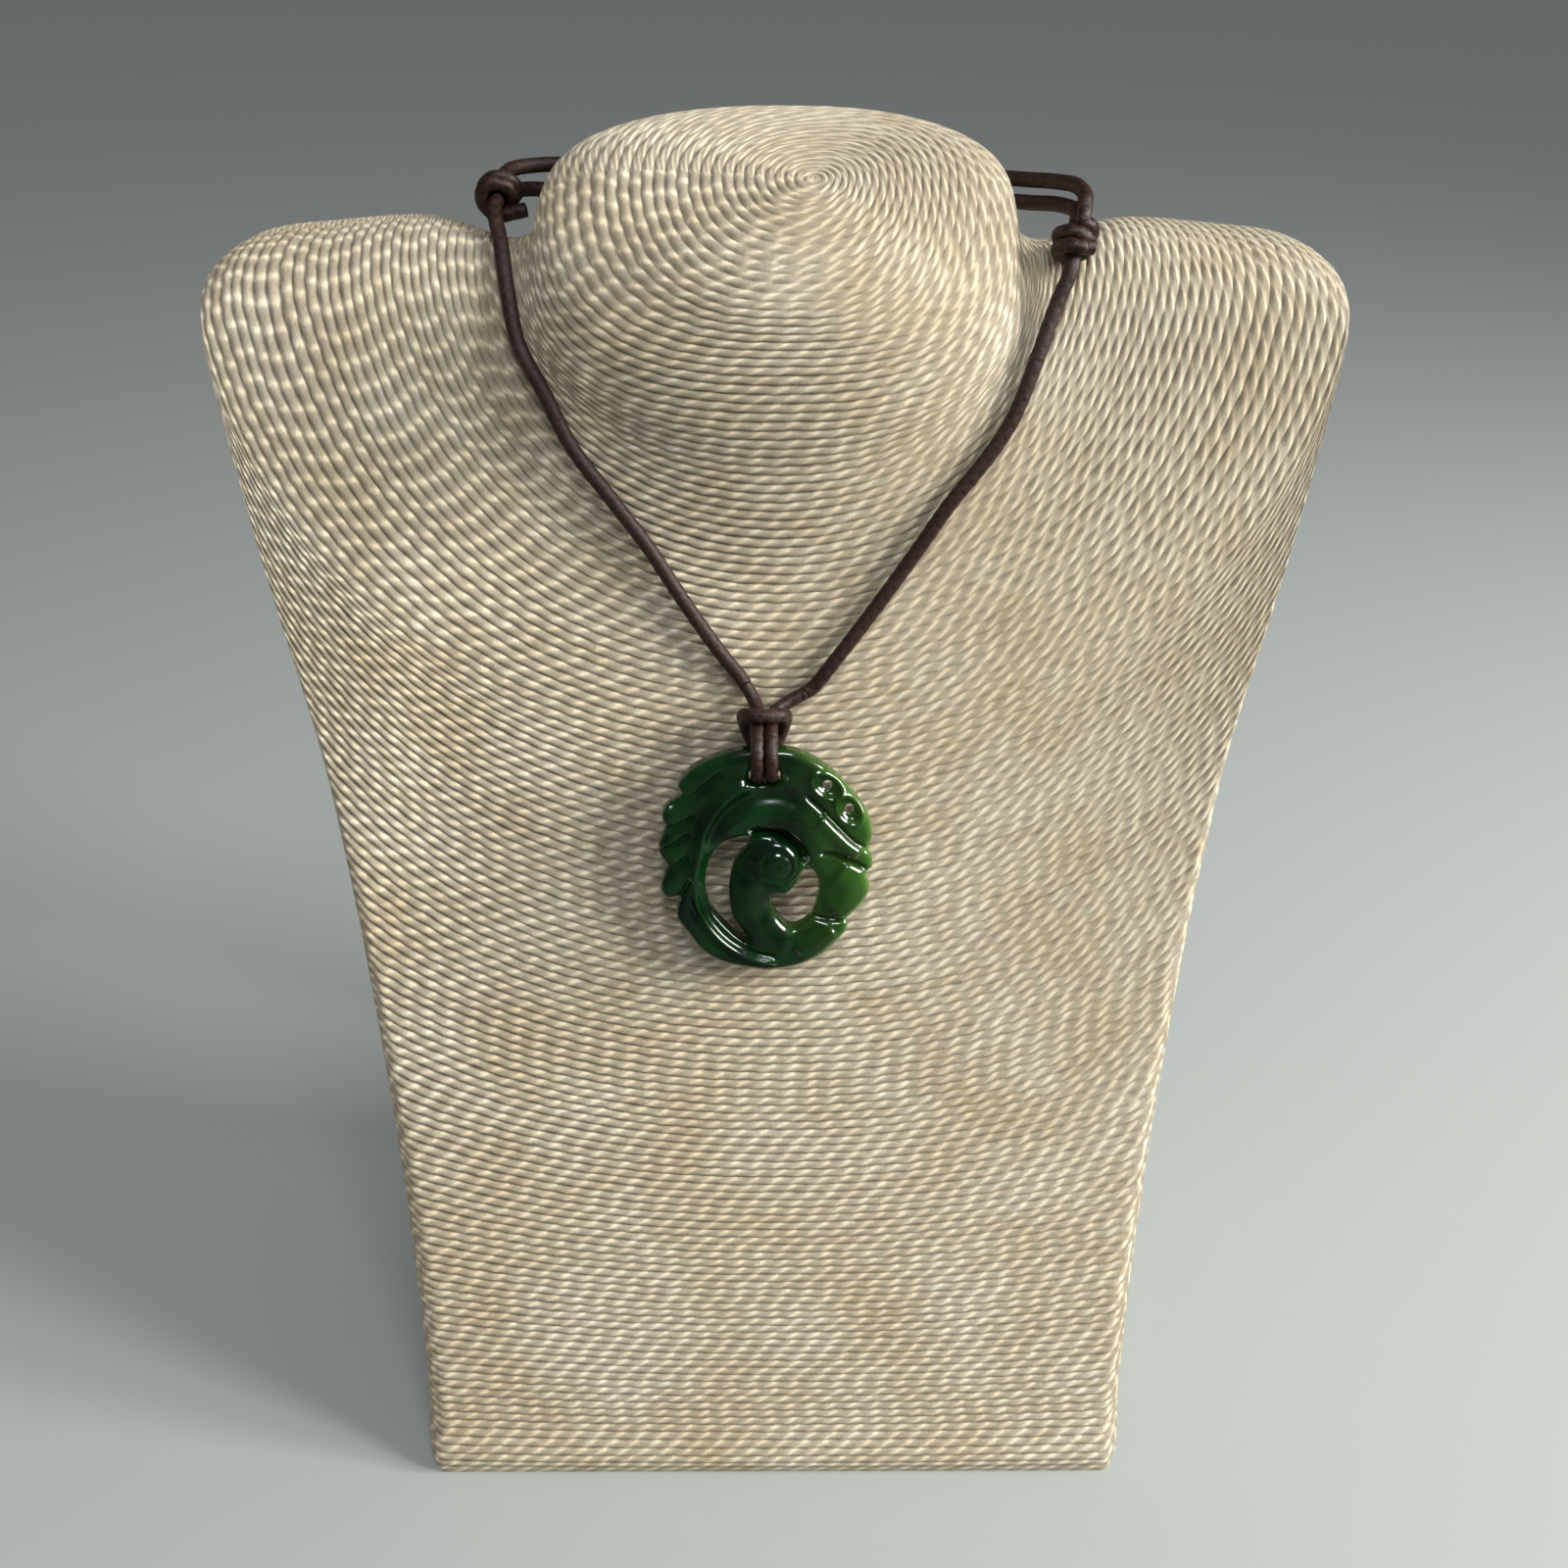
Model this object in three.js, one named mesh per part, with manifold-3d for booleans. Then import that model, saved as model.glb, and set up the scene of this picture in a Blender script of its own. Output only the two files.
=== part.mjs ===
// Carved jade pendant on a knotted cord, hung on a rope-wound neck bust.
// Millimetres, +Z up, the pendant faces -Y, z = 0 is the table the bust stands on.
import * as THREE from 'three';
import { mergeVertices } from 'three/addons/utils/BufferGeometryUtils.js';
import Module from 'manifold-3d';

const wasm = await Module();
wasm.setup();

// Bust: its size, how far the rope's first turn lies off the middle and the turn where that has
// worn off, the slope of the chest at its rim, and how square the shoulders' corners are.
const BUST_WIDTH = 223;
const BUST_DEPTH = 105;
const BUST_HEIGHT = 307;
const CAP_SHIFT = 7;
const CAP_LAST_TURN = 26;
const CHEST_BULGE = Math.tan(THREE.MathUtils.degToRad(10));
const SHOULDER_POWER = 2.6;

// Pendant: the thickness at its rolls and at the plate between them, its edge, the place and
// clearance where it hangs before the chest, and its lean.
const PENDANT_WIDTH = 45.2;
const PENDANT_HEIGHT = 51;
const PENDANT_THICK = 6.4;
const PLATE_THICK = 4.4;
const EDGE_ROUND = 0.8;
const PENDANT_HANG = { side: -2.73, height: 165.44, clear: 3.2 };
const PENDANT_LEAN = THREE.MathUtils.degToRad(6);
const EYE_HOLE = 2.15;
const EYE_HOLLOW = { long: 6.4, wide: 4.4, deep: 1.6 };
const BULB_RING = { radius: 3, groove: 0.55 };
const GROOVE_LIFT = 0.35;

// Cord: its width, its width where the hitch draws it tight, and the room between two pieces.
// A knot's passing cord lies off its middle, and the tied end lies beside it, straight for a way.
const CORD = 3;
const HITCH_CORD = 2.7;
const GAP = 0.3;
const HOLE_ROOM = { side: 1.4, above: 1 };
const HITCH_LEAD = 1.5;
const KNOT = { long: 9.2, wide: 7.4, deep: 8.4, passing: -1.6, beside: 0.35, straight: 1.6 };

// How finely curves are cut
const QUARTER_STEPS = 200;
const CORNER_CLOSER = 3;
const EDGE_STEP = 2.2;
const CORD_SIDES = 8;
const KNOT_SIDES = 20;
const BORE_SIDES = 12;
const CORD_STEPS = { most: 80, run: 6.5, hitch: 1.6 };

const material = (name, colour, rough) => {
  const made = new THREE.MeshStandardMaterial({ color: colour, roughness: rough });
  made.name = name;
  return made;
};

const group = new THREE.Group();
group.name = 'jade_pendant_on_bust';

const add = (name, geometry, look) => {
  const mesh = new THREE.Mesh(geometry, look);
  mesh.name = name;
  group.add(mesh);
};

// Bust. Each station is one turn of the wound rope: where it crosses the front, the side and
// the back, and how far its corner reaches in, as shares of the bust's depth, height and half width.
const STATIONS = [
  { turn: 0, frontY: 0.486, frontZ: 0.9690, sideX: 0.001, sideY: 0.486, sideZ: 0.9690,
    backY: 0.488, backZ: 0.9690, spread: 2.0, rise: 2.0, flat: 0.0, round: 0.269 },
  { turn: 6, frontY: 0.400, frontZ: 0.9544, sideX: 0.085, sideY: 0.495, sideZ: 0.9707,
    backY: 0.571, backZ: 0.9805, spread: 2.1, rise: 2.1, flat: 0.0, round: 0.269 },
  { turn: 18, frontY: 0.276, frontZ: 0.9007, sideX: 0.287, sideY: 0.514, sideZ: 0.9723,
    backY: 0.743, backZ: 1.0, spread: 2.5, rise: 2.5, flat: 0.0, round: 0.269 },
  { turn: 24, frontY: 0.281, frontZ: 0.8713, sideX: 0.399, sideY: 0.524, sideZ: 0.9577,
    backY: 0.819, backZ: 0.9935, spread: 2.6, rise: 2.6, flat: 0.0, round: 0.269 },
  { turn: 30, frontY: 0.300, frontZ: 0.8355, sideX: 0.435, sideY: 0.524, sideZ: 0.9186,
    backY: 0.838, backZ: 0.9642, spread: 2.4, rise: 2.4, flat: 0.0, round: 0.269 },
  { turn: 36, frontY: 0.333, frontZ: 0.7980, sideX: 0.466, sideY: 0.543, sideZ: 0.9251,
    backY: 0.848, backZ: 0.9251, spread: 2.1, rise: 2.1, flat: 0.2, round: 0.215 },
  { turn: 47, frontY: 0.367, frontZ: 0.7264, sideX: 0.619, sideY: 0.610, sideZ: 0.9365,
    backY: 0.886, backZ: 0.8339, spread: 2.0, rise: 2.0, flat: 0.8, round: 0.161 },
  { turn: 57, frontY: 0.342, frontZ: 0.6625, sideX: 0.794, sideY: 0.648, sideZ: 0.9300,
    backY: 0.914, backZ: 0.7557, spread: 2.0, rise: 2.0, flat: 1.0, round: 0.126 },
  { turn: 64, frontY: 0.318, frontZ: 0.6173, sideX: 0.942, sideY: 0.667, sideZ: 0.9218,
    backY: 0.933, backZ: 0.6971, spread: 2.0, rise: 2.0, flat: 1.0, round: 0.108 },
  { turn: 68, frontY: 0.305, frontZ: 0.5912, sideX: 1.0, sideY: 0.667, sideZ: 0.9055,
    backY: 0.943, backZ: 0.6678, spread: 2.0, rise: 1.9, flat: 1.0, round: 0.099 },
  { turn: 76, frontY: 0.278, frontZ: 0.5394, sideX: 0.960, sideY: 0.657, sideZ: 0.7915,
    backY: 0.952, backZ: 0.6026, spread: 2.1, rise: 1.6, flat: 1.0, round: 0.090 },
  { turn: 90, frontY: 0.229, frontZ: 0.4430, sideX: 0.874, sideY: 0.629, sideZ: 0.5928,
    backY: 0.971, backZ: 0.4821, spread: 2.2, rise: 1.25, flat: 1.0, round: 0.090 },
  { turn: 110, frontY: 0.158, frontZ: 0.3062, sideX: 0.830, sideY: 0.590, sideZ: 0.3811,
    backY: 0.990, backZ: 0.3257, spread: 2.2, rise: 1.1, flat: 1.0, round: 0.090 },
  { turn: 130, frontY: 0.090, frontZ: 0.1743, sideX: 0.807, sideY: 0.552, sideZ: 0.2052,
    backY: 1.0, backZ: 0.1857, spread: 2.3, rise: 1.0, flat: 1.0, round: 0.090 },
  { turn: 150, frontY: 0.021, frontZ: 0.0407, sideX: 0.798, sideY: 0.524, sideZ: 0.0472,
    backY: 1.0, backZ: 0.0423, spread: 2.3, rise: 1.0, flat: 1.0, round: 0.081 },
  { turn: 154, frontY: 0.0, frontZ: 0.0130, sideX: 0.798, sideY: 0.514, sideZ: 0.0163,
    backY: 0.995, backZ: 0.0130, spread: 2.4, rise: 1.0, flat: 1.0, round: 0.072 },
  { turn: 156, frontY: 0.010, frontZ: 0.0, sideX: 0.785, sideY: 0.514, sideZ: 0.0,
    backY: 0.981, backZ: 0.0, spread: 2.4, rise: 1.0, flat: 1.0, round: 0.054 },
];

// Monotone cubic between the stations, so that no column overshoots.
const slopes = (key) => {
  const at = STATIONS.map((row) => row.turn);
  const value = STATIONS.map((row) => row[key]);
  const step = at.slice(1).map((turn, i) => turn - at[i]);
  const rate = step.map((wide, i) => (value[i + 1] - value[i]) / wide);
  return value.map((_, i) => {
    if (i === 0) return rate[0];
    if (i === value.length - 1) return rate[rate.length - 1];
    if (rate[i - 1] * rate[i] <= 0) return 0;
    const before = 2 * step[i] + step[i - 1];
    const after = step[i] + 2 * step[i - 1];
    return (before + after) / (before / rate[i - 1] + after / rate[i]);
  });
};
const SLOPE = Object.fromEntries(Object.keys(STATIONS[0]).map((key) => [key, slopes(key)]));

const station = (turn) => {
  let i = 0;
  while (i < STATIONS.length - 2 && turn > STATIONS[i + 1].turn) i += 1;
  const [from, to] = [STATIONS[i], STATIONS[i + 1]];
  const wide = to.turn - from.turn;
  const t = (turn - from.turn) / wide;
  const [t2, t3] = [t * t, t * t * t];
  return Object.fromEntries(Object.keys(from).map((key) => [key,
    (2 * t3 - 3 * t2 + 1) * from[key] + (t3 - 2 * t2 + t) * wide * SLOPE[key][i]
    + (-2 * t3 + 3 * t2) * to[key] + (t3 - t2) * wide * SLOPE[key][i + 1]]));
};

// One quarter of a turn, from its middle (front or back) to its side.
const quarter = (row, front, count) => {
  const half = BUST_WIDTH / 2;
  const midY = (front ? row.frontY : row.backY) * BUST_DEPTH;
  const midZ = (front ? row.frontZ : row.backZ) * BUST_HEIGHT;
  const [sideX, sideY] = [row.sideX * half, row.sideY * BUST_DEPTH];
  const sideZ = row.sideZ * BUST_HEIGHT;
  const lean = front ? row.flat * CHEST_BULGE : 0;
  const line = [];
  for (let i = 0; i <= QUARTER_STEPS; i += 1) {
    const angle = (i / QUARTER_STEPS) * Math.PI / 2;
    const across = Math.sin(angle) ** (2 / row.spread);
    const toMiddle = Math.cos(angle) ** (2 / row.rise);
    line.push({ x: sideX * across, z: sideZ + (midZ - sideZ) * toMiddle, toMiddle });
  }
  const run = [0];
  line.slice(1).forEach((p, i) => {
    run.push(run[i] + Math.hypot(p.x - line[i].x, p.z - line[i].z));
  });
  const whole = run[run.length - 1];
  const reach = row.round * half;
  line.forEach((p, i) => {
    const near = Math.min(1, (whole - run[i]) / reach);
    const corner = (1 - (1 - near) ** SHOULDER_POWER) ** (1 / SHOULDER_POWER);
    const share = (1 - row.flat) * p.toMiddle + row.flat * corner;
    p.y = sideY + (midY + lean * (p.z - midZ) - sideY) * share;
  });
  // Points lie closer round the corner than across the flat.
  const far = [0];
  line.slice(1).forEach((p, i) => {
    const close = whole - run[i] < reach ? CORNER_CLOSER : 1;
    far.push(far[i] + close * Math.hypot(p.x - line[i].x, p.y - line[i].y, p.z - line[i].z));
  });
  const points = [];
  for (let k = 0; k <= count; k += 1) {
    const goal = far[far.length - 1] * k / count;
    let i = 1;
    while (i < far.length - 1 && far[i] < goal) i += 1;
    const t = (goal - far[i - 1]) / Math.max(1e-9, far[i] - far[i - 1]);
    points.push(['x', 'y', 'z'].map((axis) => line[i - 1][axis] * (1 - t) + line[i][axis] * t));
  }
  return points;
};

// A whole turn, anticlockwise seen from above, starting at the front middle.
const turnLoop = (turn, count) => {
  const row = station(turn);
  const shift = CAP_SHIFT * Math.max(0, 1 - turn / CAP_LAST_TURN);
  const front = quarter(row, true, count);
  const back = quarter(row, false, count);
  const right = [...front, ...back.slice(0, -1).reverse()];
  const left = right.slice(1, -1).reverse().map(([x, y, z]) => [-x, y, z]);
  return [...right, ...left].map(([x, y, z]) => [x + shift, y - BUST_DEPTH / 2, z]);
};

// How far behind the bust's front edge the middle of the chest lies at a height.
const chestAt = (height) => {
  const neck = STATIONS.findIndex((row) => row.flat > 0);
  const upper = STATIONS.findLastIndex((row, i) => i >= neck && row.frontZ * BUST_HEIGHT > height);
  const [above, below] = [STATIONS[upper], STATIONS[upper + 1]];
  const share = (above.frontZ - height / BUST_HEIGHT) / (above.frontZ - below.frontZ);
  return THREE.MathUtils.lerp(above.frontY, below.frontY, share) * BUST_DEPTH;
};

const solid = (points, faces) => {
  const geometry = new THREE.BufferGeometry();
  geometry.setAttribute('position', new THREE.Float32BufferAttribute(points.flat(), 3));
  geometry.setIndex(faces);
  geometry.computeVertexNormals();
  return geometry;
};

const BUST_LOOPS = [6, 12, 18, 21, 24, 27, 30, 33, 36, 38, 40, 43, 47, 52, 57, 61, 64, 66, 68, 70,
  73, 77, 83, 90, 100, 112, 126, 140, 150, 154, 156];
const PER_QUARTER = 12;

const buildBust = () => {
  const around = PER_QUARTER * 4;
  const peak = turnLoop(0, 1)[0];
  const points = [[CAP_SHIFT, peak[1], peak[2]]];
  const faces = [];
  BUST_LOOPS.forEach((turn) => points.push(...turnLoop(turn, PER_QUARTER)));
  const at = (loop, i) => 1 + loop * around + (i % around);
  for (let i = 0; i < around; i += 1) faces.push(0, at(0, i), at(0, i + 1));
  for (let loop = 0; loop < BUST_LOOPS.length - 1; loop += 1) {
    for (let i = 0; i < around; i += 1) {
      faces.push(at(loop, i), at(loop + 1, i), at(loop + 1, i + 1));
      faces.push(at(loop, i), at(loop + 1, i + 1), at(loop, i + 1));
    }
  }
  const last = BUST_LOOPS.length - 1;
  points.push([0, 0, 0]);
  const foot = points.length - 1;
  for (let i = 0; i < around; i += 1) faces.push(foot, at(last, i + 1), at(last, i));
  return solid(points, faces);
};

// Manifold helpers
const toManifold = (geometry) => {
  const bare = new THREE.BufferGeometry();
  bare.setAttribute('position', geometry.getAttribute('position').clone());
  if (geometry.index) bare.setIndex(geometry.index.clone());
  const merged = mergeVertices(bare, 1e-4);
  return new wasm.Manifold(new wasm.Mesh({
    numProp: 3,
    vertProperties: new Float32Array(merged.getAttribute('position').array),
    triVerts: new Uint32Array(merged.index.array),
  }));
};
const fromManifold = (body) => {
  const mesh = body.getMesh();
  const geometry = new THREE.BufferGeometry();
  geometry.setAttribute('position', new THREE.Float32BufferAttribute(mesh.vertProperties, 3));
  geometry.setIndex([...mesh.triVerts]);
  geometry.computeVertexNormals();
  return geometry;
};

// Pendant. Its own frame: u to the right, v up and w out of the front, from the middle of its
// back. Points are shares of its width and height; runs of the edge meet at the notches.
const EDGE = {
  crown: [[-0.367, 0.304], [-0.389, 0.335], [-0.35, 0.386], [-0.261, 0.443], [-0.137, 0.482],
    [0.018, 0.494], [0.146, 0.486], [0.248, 0.443], [0.343, 0.375], [0.425, 0.292], [0.485, 0.208],
    [0.509, 0.116], [0.489, 0.055]],
  upperLip: [[0.489, 0.055], [0.513, 0.004], [0.511, -0.031], [0.482, -0.059]],
  lowerLip: [[0.482, -0.059], [0.502, -0.124], [0.476, -0.186], [0.396, -0.269]],
  keel: [[0.396, -0.269], [0.403, -0.306], [0.356, -0.373], [0.27, -0.447], [0.15, -0.496], [0.022, -0.51],
    [-0.179, -0.48], [-0.279, -0.429], [-0.352, -0.341], [-0.407, -0.257], [-0.389, -0.165]],
  featherFour: [[-0.389, -0.165], [-0.449, -0.173], [-0.478, -0.129], [-0.445, -0.024]],
  featherThree: [[-0.445, -0.024], [-0.485, 0.057], [-0.449, 0.147]],
  featherTwo: [[-0.449, 0.147], [-0.462, 0.218], [-0.367, 0.304]],
};
const OPENING_LEFT = [[-0.173, 0.086], [-0.235, 0.027], [-0.268, -0.11], [-0.243, -0.22], [-0.177, -0.302],
  [-0.075, -0.384], [-0.064, -0.373], [-0.142, -0.251], [-0.157, -0.141], [-0.137, -0.024], [-0.06, 0.086],
  [-0.066, 0.11]];
const OPENING_RIGHT = [[0.21, -0.025], [0.159, -0.106], [0.108, -0.153], [0.06, -0.151], [0.038, -0.18],
  [0.075, -0.263], [0.137, -0.31], [0.217, -0.271], [0.254, -0.186], [0.261, -0.09]];
const EYES = [{ at: [0.299, 0.339], turn: -0.62 }, { at: [0.4, 0.235], turn: -1.05 }];

const HOLE_AT = [0.01, 0.38];
const BULB_AT = [0.069, -0.004];

// Swellings of the body: the line they follow, and along it the half width and half height
// as shares of the pendant's thickness.
const ROLLS = {
  back: { line: [[-0.332, -0.098], [-0.285, 0.051], [-0.23, 0.2], [-0.115, 0.331], [0.058, 0.38],
    [0.235, 0.365], [0.367, 0.255], [0.447, 0.106]],
  wide: [0.30, 0.62, 0.80, 0.80, 0.72, 0.86, 0.80, 0.45],
  high: [0.30, 0.46, 0.5, 0.5, 0.47, 0.5, 0.5, 0.38] },
  belly: { line: [[-0.341, -0.176], [-0.285, -0.251], [-0.204, -0.353], [-0.071, -0.435], [0.088, -0.447],
    [0.252, -0.384], [0.354, -0.302]], wide: [0.35, 0.62, 0.66, 0.60, 0.60, 0.62, 0.40],
  high: [0.34, 0.47, 0.49, 0.48, 0.49, 0.49, 0.38] },
  coil: { line: [[0.133, -0.38], [0.004, -0.318], [-0.053, -0.216], [-0.053, -0.11], [0.004, -0.027],
    [0.08, -0.004], [0.133, -0.02]],
  wide: [0.42, 0.66, 0.68, 0.80, 0.98, 0.98, 0.55],
  high: [0.36, 0.46, 0.48, 0.49, 0.5, 0.5, 0.42] },
  jaw: { line: [[0.323, -0.016], [0.389, -0.09], [0.381, -0.176], [0.323, -0.243]],
    wide: [0.50, 0.72, 0.76, 0.40], high: [0.38, 0.49, 0.5, 0.38] },
  beak: { line: [[0.243, 0.231], [0.332, 0.125], [0.434, 0.031]], wide: [0.34, 0.56, 0.34],
    high: [0.38, 0.47, 0.40] },
};
// Carved lines: narrow round-bottomed grooves in the front, half width and half depth as shares
// of the pendant's thickness.
const GROOVES = {
  mouth: { line: [[0.226, 0.29], [0.319, 0.188], [0.412, 0.098], [0.522, 0.031]], wide: 0.12, deep: 0.20 },
  lip: { line: [[0.27, 0.024], [0.389, 0.016], [0.522, -0.063]], wide: 0.12, deep: 0.20 },
  jaw: { line: [[0.212, -0.247], [0.31, -0.269], [0.442, -0.259]], wide: 0.12, deep: 0.19 },
  fold: { line: [[-0.075, 0.145], [0.058, 0.165], [0.177, 0.11], [0.239, 0.008]], wide: 0.14, deep: 0.25 },
  featherOne: { line: [[-0.431, 0.233], [-0.327, 0.259], [-0.243, 0.314]], wide: 0.11, deep: 0.14 },
  featherTwo: { line: [[-0.498, 0.145], [-0.398, 0.149], [-0.316, 0.176]], wide: 0.11, deep: 0.14 },
  featherThree: { line: [[-0.509, 0.039], [-0.42, 0.086], [-0.345, 0.149]], wide: 0.11, deep: 0.14 },
  featherFour: { line: [[-0.487, -0.047], [-0.398, -0.012], [-0.332, 0.035]], wide: 0.11, deep: 0.14 },
  featherFive: { line: [[-0.407, -0.196], [-0.367, -0.141], [-0.319, -0.078]], wide: 0.11, deep: 0.14 },
};

const onFace = ([u, v]) => new THREE.Vector2(u * PENDANT_WIDTH, v * PENDANT_HEIGHT);
const faceLine = (list, w) => list.map(onFace).map((p) => new THREE.Vector3(p.x, p.y, w));
const opening = (list) => {
  const line = new THREE.CatmullRomCurve3(faceLine(list, 0), true, 'centripetal');
  const count = Math.round(line.getLength() / EDGE_STEP);
  return line.getSpacedPoints(count).slice(0, -1).map((p) => new THREE.Vector2(p.x, p.y));
};
// The hole takes the hitch's two strands side by side, with room round them.
const cordHole = () => {
  const middle = onFace(HOLE_AT);
  const high = HITCH_CORD + 2 * HOLE_ROOM.above;
  const straight = 2 * HITCH_CORD + 2 * HOLE_ROOM.side - high;
  const count = Math.round((Math.PI * high + 2 * straight) / (EDGE_STEP / 1.5));
  return Array.from({ length: count }, (_, i) => {
    const angle = ((i + 0.5) / count) * Math.PI * 2;
    const side = (Math.sign(Math.cos(angle)) * straight) / 2;
    return new THREE.Vector2(side + Math.cos(angle) * high / 2, Math.sin(angle) * high / 2).add(middle);
  });
};

const pendantShape = () => {
  const rim = [];
  Object.values(EDGE).forEach((run) => {
    const smooth = new THREE.SplineCurve(run.map(onFace));
    const count = Math.max(4, Math.round(smooth.getLength() / EDGE_STEP));
    rim.push(...smooth.getSpacedPoints(count).slice(0, -1));
  });
  const shape = new THREE.Shape(rim);
  shape.holes.push(
    new THREE.Path(opening(OPENING_LEFT)), new THREE.Path(opening(OPENING_RIGHT)),
    new THREE.Path(cordHole()));
  return shape;
};

// Closed body with an oval section that changes along a curve. Its ends round off, down to a blunt
// tip whose section is this share of the full one.
const TIP_SHARE = 0.04;
const END_POWER = 8;
const sweep = (line, wide, high, middle, steps, sides) => {
  const curve = new THREE.CatmullRomCurve3(faceLine(line, middle), false, 'centripetal');
  const along = (list, t) => {
    const place = t * (list.length - 1);
    const i = Math.min(list.length - 2, Math.floor(place));
    return THREE.MathUtils.lerp(list[i], list[i + 1], place - i);
  };
  const points = [];
  const faces = [];
  for (let s = 0; s <= steps; s += 1) {
    const t = s / steps;
    const centre = curve.getPoint(t);
    const ahead = curve.getTangent(t);
    const close = Math.sqrt(1 - (1 - TIP_SHARE) * (2 * Math.abs(t - 0.5)) ** END_POWER);
    for (let i = 0; i < sides; i += 1) {
      const angle = (i / sides) * Math.PI * 2;
      const out = Math.cos(angle) * along(wide, t) * close;
      const up = Math.sin(angle) * along(high, t) * close;
      points.push([centre.x - ahead.y * out, centre.y + ahead.x * out, centre.z + up]);
    }
  }
  for (let s = 0; s < steps; s += 1) {
    for (let i = 0; i < sides; i += 1) {
      const [a, b] = [s * sides + i, s * sides + (i + 1) % sides];
      faces.push(a, b, a + sides, b, b + sides, a + sides);
    }
  }
  const end = steps * sides;
  for (let i = 1; i < sides - 1; i += 1) {
    faces.push(0, i + 1, i);
    faces.push(end, end + i, end + i + 1);
  }
  return toManifold(solid(points, faces));
};

const extruded = (shape, depth, round) => {
  const geometry = new THREE.ExtrudeGeometry(shape, {
    depth: depth - 2 * round, steps: 1, curveSegments: 1, bevelEnabled: round > 0,
    bevelThickness: round, bevelSize: round, bevelOffset: -round, bevelSegments: 2,
  });
  geometry.translate(0, 0, round);
  return geometry;
};

const almond = ({ at, turn }) => {
  const geometry = new THREE.SphereGeometry(1, 14, 8);
  geometry.scale(EYE_HOLLOW.long / 2, EYE_HOLLOW.wide / 2, EYE_HOLLOW.deep);
  geometry.rotateZ(turn);
  geometry.translate(...onFace(at), PENDANT_THICK);
  return toManifold(geometry);
};
const drilled = ({ at }) => {
  const geometry = new THREE.CylinderGeometry(EYE_HOLE / 2, EYE_HOLE / 2, PENDANT_THICK * 3, 12);
  geometry.rotateX(Math.PI / 2);
  geometry.translate(...onFace(at), PENDANT_THICK / 2);
  return toManifold(geometry);
};

const buildPendant = () => {
  const shape = pendantShape();
  const middle = PENDANT_THICK / 2;
  const plate = extruded(shape, PLATE_THICK, EDGE_ROUND);
  plate.translate(0, 0, middle - PLATE_THICK / 2);
  const limit = extruded(shape, PENDANT_THICK * 2, 0);
  limit.translate(0, 0, -middle);
  let rolls = null;
  Object.values(ROLLS).forEach(({ line, wide, high }) => {
    const body = sweep(line, wide.map((share) => share * PENDANT_THICK),
      high.map((share) => share * PENDANT_THICK), middle, line.length * 3, 12);
    rolls = rolls ? rolls.add(body) : body;
  });
  let body = rolls.intersect(toManifold(limit)).add(toManifold(plate));
  const face = middle + PLATE_THICK / 2 + GROOVE_LIFT;
  Object.values(GROOVES).forEach(({ line, wide, deep }) => {
    const [across, down] = [wide, deep].map((share) => [share * PENDANT_THICK, share * PENDANT_THICK]);
    body = body.subtract(sweep(line, across, down, face, line.length * 2, 6));
  });
  const ring = new THREE.TorusGeometry(BULB_RING.radius, BULB_RING.groove, 6, 16);
  ring.translate(...onFace(BULB_AT), PENDANT_THICK);
  body = body.subtract(toManifold(ring));
  EYES.forEach((eye) => {
    body = body.subtract(almond(eye)).subtract(drilled(eye));
  });
  return placed(fromManifold(body));
};

// From the pendant's frame to the object's: it hangs before the chest and leans back.
const pendantFrame = new THREE.Matrix4().makeBasis(
  new THREE.Vector3(1, 0, 0),
  new THREE.Vector3(0, Math.sin(PENDANT_LEAN), Math.cos(PENDANT_LEAN)),
  new THREE.Vector3(0, -Math.cos(PENDANT_LEAN), Math.sin(PENDANT_LEAN)),
).setPosition(PENDANT_HANG.side,
  chestAt(PENDANT_HANG.height) - PENDANT_HANG.clear - BUST_DEPTH / 2, PENDANT_HANG.height);
const placed = (geometry) => geometry.applyMatrix4(pendantFrame);

// Cords. Every route is a list of points chosen by hand, [x, y, z] with y from the bust's front
// edge; the hitch's is in the pendant's frame, from the middle of the hole.
const HITCH_LEFT = [[-4.05, 16.8, -4.1], [-2.75, 14.8, -3.3], [-1.7, 13, -1.8], [-1.4, 11.5, 0.6],
  [-1.4, 8.7, 5], [-1.4, 6.1, 7.4], [-1.4, 3.5, 8], [-1.4, 1.3, 7.2],
  [-1.4, 0.1, 5], [-1.4, -0.2, 2.6], [-1.43, 0, 0.2], [-1.65, 1.2, -1.9],
  [-2.25, 3.5, -2.6], [-3.35, 6.6, -2.6], [-4.2, 9.6, -1.5], [-4.3, 11.8, 0.8],
  [-3.15, 12.8, 3.2], [-1.45, 12.9, 4.1]];
const HITCH_RIGHT_START = [[8.45, 15.1, -4], [6.55, 14, -3.7], [4.45, 13, -3],
  [2.45, 12.1, -1.4], [1.45, 10.9, 1.2]];
const HITCH_TOP = [0, 12.95, 4.2];
const CHEST_LEFT = [[-11.3, 34.5, 207.8], [-18.3, 36.2, 217.9], [-25.8, 37.5, 229.9], [-33.1, 38.0, 240.2],
  [-39.9, 39.2, 249.6], [-44.8, 41.0, 259.7], [-49.4, 44.0, 268.2], [-51.6, 48.9, 278.0],
  [-53.0, 54.4, 285.0]];
const CHEST_RIGHT = [[11.9, 34.1, 205.9], [19.6, 36.0, 216.2], [27.3, 37.5, 227.3], [34.4, 38.3, 238.3],
  [41.7, 39.6, 247.8], [46.2, 40.9, 255.1], [49.9, 43.0, 265.0], [53.4, 46.1, 275.0]];
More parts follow.
